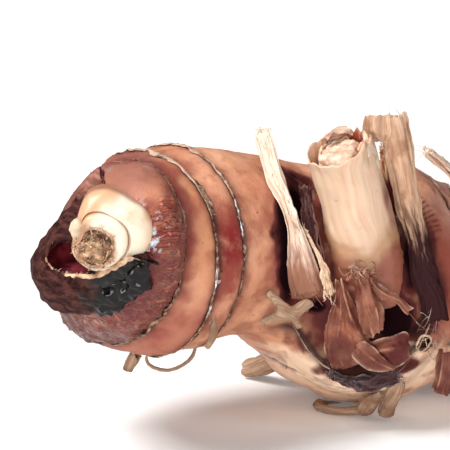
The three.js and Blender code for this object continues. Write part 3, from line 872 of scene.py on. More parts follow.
core = fine_copy("bud_core", "bud_core_fibres", 0.25, 8)
p, n = points_of(core.data), normals_of(core.data)
front = ease(-p[:, 1], 32, 34)
p += n * (front * (0.55 * layered(p, 2.0, 221) + 0.35 * lumps(p, 0.8, 225)))[:, None]
write_points(core.data, p)
# Painted shade where the core's fibres lie recessed: the field is 1 where they stand out.
keep(core.data, deep=ease(relaxed(p, edges_of(core.data), 20)[:, 1] - p[:, 1], -0.25, 0.3))
frayed, t = new_material("frayed bud core")
colour = blend(t, rise(t, speckle(t, 900, 4), 0.35, 0.65), (0.40, 0.19, 0.09), (0.80, 0.54, 0.33))
# Painted shade in the core's recesses and on some shreds.
colour = blend(t, maths(t, "SUBTRACT", 1.0, field(t, "deep")), colour, (0.06, 0.025, 0.015))
surface(t, colour, 0.75, speckle(t, 1800, 4), 0.6, 0.0005)
finish_piece(core, frayed, "bud_fibre", "bud_core")
chance = np.random.default_rng(260)
shreds, deeps = [], []
for k in range(130):
    angle, reach = chance.uniform(-math.pi, math.pi), crad * chance.uniform(0.15, 1.12)
    foot = np.array([cx + reach * math.cos(angle), cfront + 0.6, cz + reach * math.sin(angle)])
    way = np.array([
        math.cos(angle + 1.2), -0.2, math.sin(angle + 1.2),
    ]) * chance.uniform(-0.9, 0.9) + chance.normal(0, 0.35, 3)
    steps = np.linspace(0, 1, 6)[:, None]
    path = foot + steps * way + steps * (1 - steps) * (0, -2.6 * chance.uniform(0.3, 1), 0)
    shreds.append(strand(path, chance.uniform(0.14, 0.42), 5))
    # Each shred gets a random share of the painted shade.
    deeps.append(np.full(len(shreds[-1][0]), chance.uniform(0.35, 1)))
shreds = new_piece("bud_core_shreds", shreds, deep=np.concatenate(deeps))
finish_piece(shreds, frayed, "bud_fibre")

# The blunt tip of a younger leaf shows beside the core.
turns, rounds = np.meshgrid(
    np.linspace(0, 2 * math.pi, 41), np.linspace(0.02, math.pi - 0.02, 24), indexing="ij",
)
knob = np.stack([
    1.45 * np.sin(rounds) * np.cos(turns), -1.3 * np.cos(rounds), 2.1 * np.sin(rounds) * np.sin(turns),
], -1)
knob = knob + 0.22 * layered(knob.reshape(-1, 3) + 7, 1.6, 270).reshape(turns.shape + (1,))
points, faces = sheet(knob + (cx - 2.4, ifront + 1.9, cz + 2.3), 0.05)
knob = new_piece(
    "bud_young_leaf", [(points, faces)], polar=points, rim=points[:, 0] * 0, foot=points[:, 0] * 0,
    tan=0.55 + 0.4 * ease(cz + 1.8 - points[:, 2], -0.2, 1.2),
    soiled=0.7 * ease(points[:, 0], cx - 3.0, cx - 2.0),
)
finish_piece(knob, cream, "bud_leaf")

hood = fine_copy("bud_hood", "bud_hood_leaf", 0.33, 8)
p, n = points_of(hood.data), normals_of(hood.data)
turn, spread, height = around_axis(p, bud, bud_axis)
steps = np.linspace(-math.pi, math.pi, 73)
least = np.array([np.min(spread[np.abs(turn - s) < 0.12], initial=30) for s in steps])
from_rim = spread - np.interp(turn, steps, least)
hood_grain = np.stack([turn * 12, from_rim, height], 1)
p += n * (0.35 * layered(hood_grain * (1, 0.25, 0.25), 2.0, 231) + 0.18 * lumps(p, 1.2, 236))[:, None]
arm = ease(p[:, 2], 32, 36) * ease(2.2 - from_rim, 0, 2) * ease(48 - p[:, 2], 0, 4)
p += np.outer(arm, (1.9, -1.2, -0.5))
p[:, 2] += 1.9 * bell(p[:, 0] + 35.0, 3.6) * ease(3.0 - from_rim, 0, 2.5)
wet_part = ease(p[:, 0] + 1.2 * layered(p, 2, 233), -44, -41) * ease(34.5 - p[:, 2], 0, 2)
p += n * (wet_part * (0.55 * layered(p, 1.5, 237) + 0.30 * lumps(p, 0.8, 239)))[:, None]
p -= n * (0.45 * ease(p[:, 2], 43.5, 47))[:, None]
write_points(hood.data, p)
fading = ease(p[:, 2] + 1.2 * layered(p, 2.4, 242), 40, 44.5)
keep(hood.data, wet=wet_part, grain=hood_grain, fading=fading)

# The inside of the hood, from its rim back to the skin round the bud.
rim_count = 144
rim_turns = np.linspace(-math.pi, math.pi, rim_count + 1)
rim_points = []
for angle in rim_turns:
    near = np.abs((turn - angle + math.pi) % (2 * math.pi) - math.pi) < 0.08
    if near.sum() > 12:
        at = np.flatnonzero(near)
        rim_points.append(p[at[np.argsort(spread[at])[:14]]].mean(0))
    else:
        rim_points.append(None)
first = next(k for k in range(rim_count + 1) if rim_points[k] is not None and rim_points[k - 1] is None)
arc = [rim_points[(first + k) % rim_count] for k in range(rim_count)]
arc = np.array(arc[: next((k for k in range(rim_count) if arc[k] is None), rim_count)])
for _ in range(4):
    arc[1:-1] = 0.5 * arc[1:-1] + 0.25 * (arc[2:] + arc[:-2])
chance = np.random.default_rng(243)
lip_out = arc - (ox, 0, oz)
lip_out[:, 1] = 0
lip_out /= np.linalg.norm(lip_out, axis=1)[:, None]
# Positions along the hood's torn edge: upper left, under the bud, to the right. They don't follow the CAD.
HOOD_EDGE = (
    (-47.0, -24.4, 37.6), (-47.7, -25.4, 36.5), (-48.2, -26.2, 35.4), (-48.8, -27.2, 34.0),
    (-49.0, -27.5, 32.6),
    (-48.5, -28.1, 31.6), (-47.7, -28.7, 31.1), (-46.4, -29.4, 30.8), (-45.2, -30.1, 30.8),
    (-43.9, -30.9, 30.9),
    (-42.6, -31.6, 31.1), (-41.4, -32.2, 31.4), (-40.2, -32.6, 31.8), (-39.0, -33.0, 32.5),
    (-38.0, -33.4, 33.2),
    (-37.1, -33.8, 33.8), (-36.2, -34.0, 34.2), (-35.5, -34.0, 34.3), (-34.6, -33.4, 34.1),
    (-33.9, -32.3, 33.7),
)
edge_count, fold_count = 180, 22
edge = spline(HOOD_EDGE, edge_count)
edge = edge + 0.28 * np.stack([lumps(edge, 1.5, 244 + k) for k in range(3)], 1) * (1, 0.4, 1)
outward = (edge - (cx, 0, cz + 0.5)) * (1, 0, 1)
outward /= np.linalg.norm(outward, axis=1)[:, None]
front_part = ease(edge[:, 0], -47.5, -44)
narrow_start = ease(np.arange(edge_count), 0, 26)
broad_lip = (
    0.05 + 0.22 * front_part + (0.08 + 0.3 * front_part) * np.abs(lumps(edge, 1.1, 248))
    + 0.12 * np.abs(lumps(edge, 0.4, 249))
)
across_lip = np.linspace(-1, 1, 7)[None, :, None]
broad_lip = broad_lip * (0.2 + 0.8 * narrow_start)
edge = edge + np.outer(1 - narrow_start, (0, 0.9, 0))
lip_grid = edge[:, None] + outward[:, None] * across_lip * broad_lip[:, None, None]
lip_grid = lip_grid - np.array([0, 0.3, 0]) * (1 - across_lip**2) * broad_lip[:, None, None] * 2
lip_parts = [sheet(lip_grid, 0.10)]
for k in range(90):
    at = chance.integers(50, 175)
    way = (
        -outward[at] * chance.uniform(0.2, 0.9) + (edge[at + 3] - edge[at]) * chance.normal(0, 1.2)
        + (0, -0.25, 0)
    )
    path = edge[at] + np.linspace(-0.3, chance.uniform(0.5, 1.1), 4)[:, None] * way
    lip_parts.append(strand(path, chance.uniform(0.07, 0.2)))
torn_lip = new_piece("bud_hood_torn_rim", lip_parts)

# Below its torn edge the hood leaf folds down, wet and black in front.
down = np.linspace(0, 1, fold_count)[None, :, None]
reach = (0.9 + 2.5 * front_part)[:, None, None]
fold_grid = (
    edge[:, None] + outward[:, None] * (down * reach - 0.1)
    + np.array([0, 1, 0]) * (0.12 + 0.8 * reach * down**1.7)
)
laid = fold_grid.reshape(-1, 3)
around = np.repeat(np.unwrap(np.arctan2(outward[:, 2], outward[:, 0])), fold_count)
pleats = 1 - 2 * np.abs(lumps(np.stack([around * 9, laid[:, 1] * 0.2, around * 0], 1), 1.2, 250))
crumple = 0.40 * pleats + 0.35 * layered(laid, 1.3, 251) + 0.12 * lumps(laid, 0.6, 252)
crumple = crumple.reshape(edge_count, fold_count, 1) * np.sin(down * math.pi * 0.55 + 0.2)
fold_grid = fold_grid - (outward[:, None] * 0.3 + (0, 0.9, 0)) * crumple
points, faces = sheet(fold_grid, 0.3)
hood_fold = new_piece(
    "bud_hood_fold", [(points, faces)], fading=points[:, 0] * 0,
    wet=ease(points[:, 0] + 1.2 * layered(points, 2, 233), -44, -41), grain=points * (0.8, 0.3, 0.3),
)
inner_foot = arc + (np.array([ox, oback, oz]) - arc) * (0.45, 0, 0.45) + (0, 2.5, 0)
inner_foot = onto_skin(inner_foot, -0.3)
steps = np.linspace(0, 1, 14)[None, :, None]
lining_grid = (arc + lip_out + (0, 0.5, 0))[:, None] * (1 - steps) + inner_foot[:, None] * steps
lining_grid += np.array([0, 2.2, 0]) * np.sin(steps * math.pi)
lining_flat = lining_grid.reshape(-1, 3)
lining_grid = lining_grid + 0.25 * layered(lining_flat, 1.4, 241).reshape(lining_grid.shape[:2] + (1,))
lining = new_piece("bud_hood_lining", [sheet(lining_grid, 0.25)])
wine_dark, t = new_material("dark red lining")
colour = blend(t, rise(t, speckle(t, 420, 4), 0.35, 0.65), (0.045, 0.002, 0.006), (0.14, 0.012, 0.016))
surface(t, colour, 0.35, speckle(t, 900, 4), 0.5, 0.0004, Specular_IOR_Level=0.3)
finish_piece(lining, wine_dark, "dark_husk")

dead, t = new_material("dead hood leaf")
streak = speckle(t, 0.8, 5, field(t, "grain", "Vector"))
colour = blend(t, rise(t, streak, 0.35, 0.7), (0.022, 0.006, 0.006), (0.095, 0.034, 0.027))
colour = blend(t, field(t, "wet"), colour, (0.0035, 0.002, 0.002))
faded = blend(t, rise(t, streak, 0.4, 0.6), (0.27, 0.105, 0.075), (0.42, 0.20, 0.15))
colour = blend(t, field(t, "fading"), colour, faded)
rough = maths(t, "SUBTRACT", 0.6, maths(t, "MULTIPLY", field(t, "wet"), 0.38))
slick = maths(t, "MULTIPLY", speckle(t, 300, 2), maths(t, "MULTIPLY", field(t, "wet"), 2.4))
hood_surface = surface(
    t, colour, rough, maths(t, "ADD", streak, slick), 0.7, 0.0006, Specular_IOR_Level=0.04,
)
t.links.new(maths(t, "MULTIPLY", field(t, "wet"), 0.45), hood_surface.inputs["Coat Weight"])
hood_surface.inputs["Coat Roughness"].default_value = 0.10
finish_piece(hood, dead, "dark_husk", "bud_hood")
finish_piece(hood_fold, dead, "dark_husk")
pale_rim, t = new_material("pale torn rim")
colour = blend(t, rise(t, speckle(t, 500, 4), 0.38, 0.62), (0.30, 0.13, 0.07), (0.66, 0.46, 0.29))
surface(t, colour, 0.7, speckle(t, 1800, 3), 0.5, 0.0003)
finish_piece(torn_lip, pale_rim, "dark_husk")

# ---- Stem stub -----------------------------------------------------------------------------------
# The shoot was cut off here. A cream leaf sheath with a broken, curling rim stands round the pale
# pith, and flares out wine red and wrinkled where it leaves the crown.
stem_low, stem_high = (np.array(v) * 1000 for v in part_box("stem_sheath"))
sheath = fine_copy("stem_sheath", "stem_leaf_sheath", 0.32, 10)
p, n = points_of(sheath.data), normals_of(sheath.data)
levels = np.linspace(stem_low[2], stem_high[2], 14)
centres = np.array([np.mean(p[np.abs(p[:, 2] - level) < 2.5], axis=0) for level in levels])
across = p - np.stack([np.interp(p[:, 2], levels, centres[:, k]) for k in range(3)], 1)
turn = np.arctan2(across[:, 1], across[:, 0])
stem_grain = np.stack([np.cos(turn) * 6, np.sin(turn) * 6, p[:, 2] / 14], 1)
wall = np.hypot(across[:, 0], across[:, 1])
sideways = across[:, 0] / (wall + 1e-6)
foot = ease(30.6 + 4.5 * sideways**2 + 2.2 * layered(p, 3.4, 301) - p[:, 2], -3.0, 7.0)
shape = 0.012 * lumps(stem_grain, 0.7, 303) + 0.25 * layered(p, 6, 305)
shape += foot * 0.25 * lumps(p * (0.4, 0.4, 1.6), 1.2, 307)
p += n * shape[:, None]
torn = lumps(stem_grain * (1, 1, 0), 2.4, 309) + 0.6 * lumps(stem_grain * (1, 1, 0), 0.8, 311)
near_top = ease(p[:, 2], stem_high[2] - 7, stem_high[2] - 1)
front = ease(-across[:, 1], 1, 5)
p[:, 2] -= near_top * (0.3 + 0.8 * torn + 1.3 * front)
write_points(sheath.data, p)
right_edge = ease(sideways + 0.04 * lumps(p, 3, 313), 0.82, 0.93) * ease(stem_high[2] - p[:, 2], 6, 11)
left_edge = ease(-sideways + 0.05 * lumps(p, 3, 314), 0.86, 0.97) * ease(38 - p[:, 2], 0, 6)
inward = -(n[:, 0] * across[:, 0] + n[:, 1] * across[:, 1]) / (wall + 1e-6)
rust_wall = ease(inward, -0.1, 0.5) * near_top * bell(turn - 0.9, 1.25, 4)
keep(
    sheath.data, grain=stem_grain, foot=foot, shaded=np.clip(right_edge + 0.7 * left_edge, 0, 1) * 0.95,
    rust=rust_wall, rim=ease(p[:, 2], stem_high[2] - 4.5, stem_high[2] - 1.5),
)
stem_skin, t = new_material("cream leaf sheath")
streak = speckle(t, 1.1, 5, field(t, "grain", "Vector"))
soft = speckle(t, 120, 3)
colour = blend(t, rise(t, streak, 0.35, 0.85), (0.70, 0.50, 0.35), (0.56, 0.33, 0.21))
colour = blend(t, maths(t, "MULTIPLY", rise(t, soft, 0.50, 0.72), 0.75), colour, (0.66, 0.32, 0.22))
blotch = rise(t, speckle(t, 330, 4), 0.62, 0.74)
colour = painted(
    t, colour,
    (blotch, 0.6, (0.42, 0.15, 0.08)),
    ("shaded", 1, (0.13, 0.018, 0.017)),
)
blushing = rise(t, speckle(t, 150, 4), 0.46, 0.64)
colour = painted(
    t, colour,
    (blushing, 0.35, (0.80, 0.50, 0.34)),
    (rise(t, field(t, "foot"), 0.0, 0.5), 0.9, (0.44, 0.23, 0.12)),
    (rise(t, field(t, "foot"), 0.55, 1.0), 0.9, (0.27, 0.070, 0.042)),
    ("rim", rise(t, speckle(t, 420, 3), 0.4, 0.65), (0.50, 0.24, 0.13)),
    ("rust", 1, (0.26, 0.050, 0.022)),
)
surface(t, colour, 0.5, streak, 0.18, 0.0003, Subsurface_Weight=0.1, Subsurface_Scale=0.0015)
finish_piece(sheath, stem_skin, "stem_sheath", "stem_sheath")


# Inner sheaths, nested in the outer one and broken off a little lower.
mouth = p[p[:, 2] > stem_high[2] - 3.5].mean(0)
rim_levels = np.linspace(-math.pi, math.pi, 97)
sheath_depth = 5
outer_top = p[:, 2] > stem_high[2] - 9
from_axis = p[outer_top][:, :2] - mouth[:2]
rim_turn = np.arctan2(from_axis[:, 1], from_axis[:, 0])
rim_near = bell((rim_turn[None] - rim_levels[:, None] + math.pi) % (2 * math.pi) - math.pi, 0.12)
rim_radius = (rim_near @ np.hypot(from_axis[:, 0], from_axis[:, 1])) / rim_near.sum(1)
rim_height = np.array([
    np.percentile(p[outer_top][near > 0.5, 2], 96) for near in rim_near
])
rim_height = 0.25 * np.roll(rim_height, 1) + 0.5 * rim_height + 0.25 * np.roll(rim_height, -1)
flesh, t = new_material("pale pith")
grainy = speckle(t, 700, 4)
colour = blend(t, rise(t, grainy, 0.35, 0.65), (0.80, 0.62, 0.48), (0.60, 0.37, 0.24))
colour = blend(t, field(t, "rust"), colour, (0.26, 0.050, 0.022))
surface(t, colour, 0.6, speckle(t, 1400, 3), 0.6, 0.0005, Subsurface_Weight=0.12, Subsurface_Scale=0.0015)
parts, rust = [], []
for layer, (share_out, drop) in enumerate(((0.86, 0.55), (0.66, 0.20), (0.50, 0.40))):
    circle = np.stack(
        [np.cos(rim_levels) * 4, np.sin(rim_levels) * 4, np.full(len(rim_levels), layer * 5.0)], 1,
    )
    ragged = 0.35 * lumps(circle, 1.6, 331) + 0.25 * lumps(circle, 0.6, 332)
    radius = rim_radius * (share_out + 0.05 * lumps(circle, 2.0, 333))
    top = rim_height - drop + ragged
    lean = np.linspace(0, 1, 9)
    curl = np.array([0, 0, 0, 0, 0.02, 0.05, 0.12, 0.2, 0.34]) * (1 if layer < 2 else -1)
    grid = np.stack([
        mouth[0] + (radius[:, None] - curl) * np.cos(rim_levels)[:, None] + 0.24 * (1 - lean) * sheath_depth,
        mouth[1] + (radius[:, None] - curl) * np.sin(rim_levels)[:, None],
        top[:, None] - sheath_depth * (1 - lean),
    ], -1)
    parts.append(sheet(grid, 0.42))
    behind = bell(np.tile(np.repeat(rim_levels, len(lean)), 2) - 0.9, 1.4, 4)
    rust.append(behind * (0.95, 0.15, 0.35)[layer] * np.tile(ease(lean, 0.2, 0.9), 2 * len(rim_levels)))
inner = new_piece("stem_inner_sheaths", parts, rust=np.concatenate(rust))
finish_piece(inner, flesh, "stem_pith")
pith = fine_copy("stem_pith", "stem_pith_core", 0.3, 8)
p, n = points_of(pith.data), normals_of(pith.data)
centre = p.mean(0)
p[:, :2] -= (p[:, :2] - centre[:2]) * 0.08
p[:, 2] += 0.25 * ease(p[:, 2], 42, 45)
p += n * (0.35 * layered(p, 1.8, 321) + 0.22 * lumps(p, 0.8, 325))[:, None]
write_points(pith.data, p)
away = np.arctan2(p[:, 1] - centre[1], p[:, 0] - centre[0])
edge_out = np.hypot(p[:, 0] - centre[0], p[:, 1] - centre[1])
rusty = ease(edge_out + 0.4 * lumps(p, 1.2, 329), 2.3, 3.0) * bell(away - 0.5, 1.15, 4)
keep(pith.data, rust=np.clip(rusty + 0.5 * ease(lumps(p, 1.5, 327), 0.35, 0.7), 0, 1) * 0.9)
finish_piece(pith, flesh, "stem_pith", "stem_pith")
top = stem_high[2]
TORN_RAILS = (
    ((-6.3, -5.6, top - 3.0), (-4.8, -4.9, top - 2.0), (-3.2, -4.8, top - 1.7), (-2.0, -4.9, top - 1.9)),
    ((-6.3, -5.9, top - 1.9), (-4.8, -5.2, top - 0.7), (-3.0, -5.2, top - 0.4), (-1.8, -5.4, top - 0.9)),
    ((-5.9, -6.8, top - 1.7), (-4.5, -6.5, top - 0.4), (-2.9, -6.3, top - 0.1), (-1.5, -6.3, top - 0.7)),
    ((-5.5, -7.3, top - 2.0), (-4.3, -7.2, top - 0.9), (-2.8, -6.9, top - 0.7), (-1.5, -6.8, top - 1.1)),
)
torn_rails = np.array([spline(rail, 40) for rail in TORN_RAILS]).transpose(1, 0, 2)
torn_grid = np.array([spline(row, 16) for row in torn_rails])
torn_flat = torn_grid.reshape(-1, 3)
torn_grid = torn_grid + 0.34 * np.stack(
    [lumps(torn_flat, 0.9, 340 + k) for k in range(3)], 1,
).reshape(torn_grid.shape)
points, faces = sheet(torn_grid, 0.22)
torn_flap = new_piece("stem_torn_flap", [(points, faces)], rust=0.35 + 0.3 * lumps(points, 1.2, 344))
finish_piece(torn_flap, flesh, "stem_pith")

# ---- Stalks, husks and crown scales --------------------------------------------------------------
# Dry leaf bases round the stem: thin, ribbed along their length, folded, and torn at their ends.
# The stalks are straw-coloured, the husks red-brown, and those at the foot of the crown dark.


def grain_of(points):
    """Each point's place along and across a strip, and through it, following its bends."""
    axes = np.linalg.svd(points - points.mean(0), full_matrices=False)[2]
    local = (points - points.mean(0)) @ axes.T
    steps = np.linspace(local[:, 0].min(), local[:, 0].max(), 16)
    width = (steps[1] - steps[0]) * 0.8
    weight = bell(local[:, 0][None] - steps[:, None], width)
    for k in (1, 2):
        local[:, k] -= np.interp(local[:, 0], steps, (weight @ local[:, k]) / weight.sum(1))
    return local, axes


def leaf_grid(node, rows, columns):
    """The middle surface of a CAD strip: a grid of points in rows along it."""
    probe = fine_copy(node, "probe", 0.35, 2)
    p = points_of(probe.data)
    bpy.data.objects.remove(probe)
    local, axes = grain_of(p)
    along, over = local[:, 0], local[:, 1]
    if (p[along > np.median(along), 2].mean()) < p[along <= np.median(along), 2].mean():
        along, over = -along, -over
    levels = np.linspace(along.min() + 0.3, along.max() - 0.3, rows)
    grid = np.zeros((rows, columns, 3))
    for row, level in enumerate(levels):
        near = np.abs(along - level) < 1.0
        q, t, s = p[near], over[near], along[near]
        edges = np.linspace(t.min() + 0.2, t.max() - 0.2, columns)
        step = (t.max() - t.min()) / columns
        weight = (
            np.exp(-(((t[None] - edges[:, None]) / step) ** 2) - ((s - level)[None] / 0.6) ** 2) + 1e-12
        )
        grid[row] = (weight @ q) / weight.sum(1)[:, None]
    for _ in range(3):
        grid[1:-1] = 0.5 * grid[1:-1] + 0.25 * (grid[2:] + grid[:-2])
    return grid


def dry_leaf(
    node, material, slot, seed, rib=0.035, wave=0.5, curl=0.6, ragged=0.10, torn=1.1, thick=0.22, layers=2,
    widen=(1, 1), shift=(0, 0, 0), fibres=14, rows=70, columns=30,
):
    """A papery leaf on a CAD strip's middle surface: ribbed, waved, curled at its edges and torn."""
    base = leaf_grid(node, rows, columns) + shift
    chance = np.random.default_rng(seed)
    parts, grains, rims = [], [], []
    u, v = np.meshgrid(np.linspace(0, 1, rows), np.linspace(-1, 1, columns), indexing="ij")
    length = np.linalg.norm(np.diff(base[:, columns // 2], axis=0), axis=1).sum()
    width = np.linalg.norm(np.diff(base[rows // 2], axis=0), axis=1).sum()
    for layer in range(layers):
        k = seed + 31 * layer
        flat = np.stack([u * length, v * width / 2, 0 * u + layer * 9], -1).reshape(-1, 3)
        spread = widen[0] + (widen[1] - widen[0]) * (1 - u)
        side = 1 + ragged * lumps(flat * (1, 0, 1), 2.2, k).reshape(u.shape)
        side = side + ragged * 0.5 * lumps(flat * (1, 0, 1), 0.7, k + 1).reshape(u.shape)
        scale = spread * side * (1 - 0.22 * layer)
        centre = base[:, columns // 2][:, None]
        grid = centre + (base - centre) * scale[..., None]
        ahead = np.gradient(grid, axis=0)
        over = np.gradient(grid, axis=1)
        normal = unit(np.cross(over, ahead))
        normal *= -np.sign(normal[..., 1].mean() + 1e-9)
        forward = unit(ahead)
        ribs = lumps(flat * (0.1, 1, 1), 0.7, k + 2) + 0.6 * lumps(flat * (0.08, 1, 1), 0.33, k + 3)
        waves = lumps(flat, 3.4, k + 4) * (0.35 + np.abs(v.ravel()) ** 2) + 0.4 * lumps(flat, 1.3, k + 5)
        bend = (
            curl * np.clip(np.abs(v) - 0.6, 0, 1) ** 1.5
            * lumps(flat * (1, 0, 1), 6, k + 6).reshape(u.shape) * 4
        )
        push = rib * ribs.reshape(u.shape) + wave * waves.reshape(u.shape) * 0.5 + bend
        grid = grid + normal * (push + 0.42 * layer)[..., None]
        ends = (u - 0.5) * 2
        tear = lumps(flat * (0, 1, 1), 1.0, k + 7) + 0.7 * lumps(flat * (0, 1, 1), 0.4, k + 8)
        pull = (
            np.clip(np.abs(ends) - 0.5, 0, 1) ** 2 * 4 * torn
            * (0.15 + 0.55 * tear.reshape(u.shape) + 0.35 * layer)
        )
        grid = grid - forward * (np.sign(ends) * pull)[..., None]
        grid[..., 2] = np.maximum(grid[..., 2], 0.2)
        parts.append(sheet(grid, thick * (1 - 0.5 * np.abs(v) ** 3)))
        grains += [flat, flat + (0, 0, 0.2)]
        rim = ease(np.maximum(np.abs(v), np.abs(ends)).ravel(), 0.90, 0.99)
        rims += [rim, rim]
        for _ in range(fibres if layer == 0 else 0):
            end = chance.choice((0, rows - 1), p=(0.4, 0.6))
            foot = grid[end, chance.integers(1, columns - 1)]
            way = forward[end, columns // 2] * (1 if end else -1) + chance.normal(0, 0.45, 3)
            steps = np.linspace(-0.8, chance.uniform(0.4, 2.0), 5)[:, None]
            path = foot + steps * way + (steps + 0.8) ** 2 * chance.normal(0, 0.12, 3)
            path[:, 2] = np.maximum(path[:, 2], 0.2)
            parts.append(strand(path, chance.uniform(0.08, 0.22)))
            count = len(parts[-1][0])
            grains.append(np.repeat(np.array([[0, chance.uniform(-9, 9), 0]]), count, 0))
            rims.append(np.full(count, 0.8))
    up = np.concatenate([part[0][:, 2] for part in parts])
    piece = new_piece(
        node + "_leaf", parts, grain=np.concatenate(grains), rim=np.concatenate(rims),
        up=ease(up, up.min(), up.max()),
    )
    finish_piece(piece, material, slot, node)


def ribbed_copy(node, material, slot, seed, cell, thin, rib, fray, warp):
    """A CAD limb wrinkled along its length and frayed at its ends."""
    piece = fine_copy(node, node + "_wrinkled", cell, 3)
    p, n = points_of(piece.data), normals_of(piece.data)
    local, axes = grain_of(p)
    turn = np.arctan2(local[:, 2], local[:, 1])
    p -= n * thin
    round_it = np.stack([local[:, 0] * 0.14, np.cos(turn) * 2.4, np.sin(turn) * 2.4], 1)
    p += n * (rib * (lumps(round_it, 0.8, seed + 1) + 0.5 * lumps(p, 0.8, seed + 2)))[:, None]
    p += warp * np.stack([lumps(p, 3.5, seed + 3 + k) for k in range(3)], 1)
    far = np.abs(local[:, 0]) / np.abs(local[:, 0]).max()
    tears = 0.5 + 0.5 * lumps(local * (0, 1, 1) + seed, 0.8, seed + 7)
    p -= np.outer(ease(far, 0.72, 1.0) * fray * tears * np.sign(local[:, 0]), axes[0])
    p[:, 2] = np.maximum(p[:, 2], 0.05)
    write_points(piece.data, p)
    keep(
        piece.data, grain=round_it * (7, 1, 1), rim=ease(far, 0.9, 1),
        up=ease(p[:, 2], p[:, 2].min(), p[:, 2].max()),
    )
    finish_piece(piece, material, slot, node)


def new_group(name, inputs, outputs):
    """A shader node group, the links that its inputs give, and the sockets of its outputs."""
    group = bpy.data.node_groups.new(name, "ShaderNodeTree")
    for way, sockets in (("INPUT", inputs), ("OUTPUT", outputs)):
        for label, kind in sockets.items():
            group.interface.new_socket(label, in_out=way, socket_type="NodeSocket" + kind)
    return group, group.nodes.new("NodeGroupInput").outputs, group.nodes.new("NodeGroupOutput").inputs


def along_grain(tree, squeeze):
    """Texture coordinates that run with the leaf's grain."""
    return add(
        tree, "VectorMath", {"operation": "MULTIPLY"}, _0=field(tree, "grain", "Vector"), _1=(squeeze, 1, 1)
    ).outputs[0]


# Streaks along the grain, pale torn edges and darker patches.
dry_leaf_look, given, made = new_group(
    "dry leaf",
    dict.fromkeys(("Light", "Dark", "Pale", "Patch"), "Color"),
    {"Colour": "Color", "Ribs": "Float"},
)
t = dry_leaf_look
grain = along_grain(t, 0.1)
streak = speckle(t, 2.2, 5, grain)
colour = blend(t, rise(t, streak, 0.32, 0.68), given["Dark"], given["Light"])
colour = blend(t, rise(t, speckle(t, 210, 4), 0.50, 0.68), colour, given["Patch"])
t.links.new(blend(t, maths(t, "MULTIPLY", field(t, "rim"), 0.6), colour, given["Pale"]), made["Colour"])
t.links.new(maths(t, "ADD", streak, maths(t, "MULTIPLY", speckle(t, 7, 3, grain), 0.6)), made["Ribs"])

# A foot that soaked and darkened, fibre by fibre: wholly below one height, not at all above another.
soaked_foot, given, made = new_group(
    "soaked foot",
    {"Colour": "Color", "Wet": "Color", "Below": "Float", "Above": "Float"},
    {"Colour": "Color"},
)
t = soaked_foot
fibres = speckle(t, 1.6, 4, along_grain(t, 0.12))
height = maths(t, "ADD", field(t, "up"), maths(t, "MULTIPLY", fibres, 0.7))
t.links.new(
    blend(t, rise(t, height, given["Above"], given["Below"]), given["Colour"], given["Wet"]),
    made["Colour"],
)


def dry_material(name, light, dark, pale, patch, rough, foot=None):
    """Dry leaf in its four colours; its foot may be soaked below one height, dry above another."""
    material, t = new_material(name)
    colours = {"Light": light, "Dark": dark, "Pale": pale, "Patch": patch}
    leaf = add(t, "Group", {"node_tree": dry_leaf_look}, **{key: (*rgb, 1) for key, rgb in colours.items()})
    colour = leaf.outputs["Colour"]
    if foot:
        below, above, wet = foot
        inputs = {"Colour": colour, "Wet": (*wet, 1), "Below": below, "Above": above}
        colour = add(t, "Group", {"node_tree": soaked_foot}, **inputs).outputs["Colour"]
    surface(t, colour, rough, leaf.outputs["Ribs"], 0.6, 0.0004, Specular_IOR_Level=0.07)
    return material


soaked = dry_material(
    "soaked straw", (0.68, 0.44, 0.30), (0.46, 0.25, 0.15), (0.66, 0.48, 0.34), (0.42, 0.21, 0.12), 0.5,
    foot=(0.66, 0.94, (0.035, 0.010, 0.011)),
)
orange_straw = dry_material(
    "orange straw", (0.64, 0.38, 0.21), (0.30, 0.12, 0.06), (0.62, 0.40, 0.26), (0.44, 0.20, 0.10), 0.5,
    foot=(0.78, 0.98, (0.10, 0.012, 0.013)),
)
pink_straw = dry_material(
    "pinkish straw", (0.88, 0.70, 0.57), (0.70, 0.48, 0.36), (0.86, 0.72, 0.58), (0.66, 0.42, 0.30), 0.6,
    foot=(0.46, 0.84, (0.30, 0.135, 0.085)),
)
rim_husk = dry_material(
    "shiny grey husk", (0.12, 0.075, 0.078), (0.014, 0.007, 0.009), (0.30, 0.21, 0.20),
    (0.06, 0.022, 0.024), 0.28,
)
straw = dry_material(
    "straw", (0.76, 0.54, 0.38), (0.56, 0.34, 0.21), (0.78, 0.62, 0.46), (0.50, 0.30, 0.18), 0.6,
)
dark_husk = dry_material(
    "dark husk", (0.085, 0.032, 0.028), (0.02, 0.006, 0.007), (0.26, 0.12, 0.09), (0.04, 0.012, 0.014),
    0.4,
)
for number, (node, material, slot, look) in enumerate((
    ("left_stalk", pink_straw, "straw", dict(rib=0.025, curl=0.4, wave=0.4, ragged=0.05, torn=0.9)),
    ("left_stalk_flap", straw, "straw", dict(layers=1, wave=0.5)),
    ("right_stalk", soaked, "straw", dict(
        rib=0.03, curl=0.35, wave=0.35, ragged=0.04, torn=0.6, rows=110, fibres=7, widen=(0.9, 1.0),
        shift=(0.35, 0, 0),
    )),
    ("right_stalk_strip", orange_straw, "straw", dict(
        layers=1, rib=0.06, ragged=0.05, torn=0.5, wave=0.2, curl=0.2, widen=(1.5, 1.3),
        shift=(1.3, -0.4, 0),
    )),
    ("crown_scale_top", pink_straw, "straw", dict(wave=0.5, widen=(1.5, 1.4), ragged=0.06, torn=0.6)),
    ("crown_scale_back", straw, "straw", dict()),
    ("crown_rim_scale", rim_husk, "dark_husk", dict(wave=0.8, curl=0.6)),
    ("crown_scale_left", dark_husk, "dark_husk", dict(wave=0.7, curl=1.0)),
)):
    dry_leaf(node, material, slot, 400 + 100 * number, **look)

# ---- Folded husks --------------------------------------------------------------------------------
# The broadest scales at the foot of the stem are leathery and red-brown. Each is folded into smooth
# facets along a few pale lines, and its edge is thin, pale and torn.


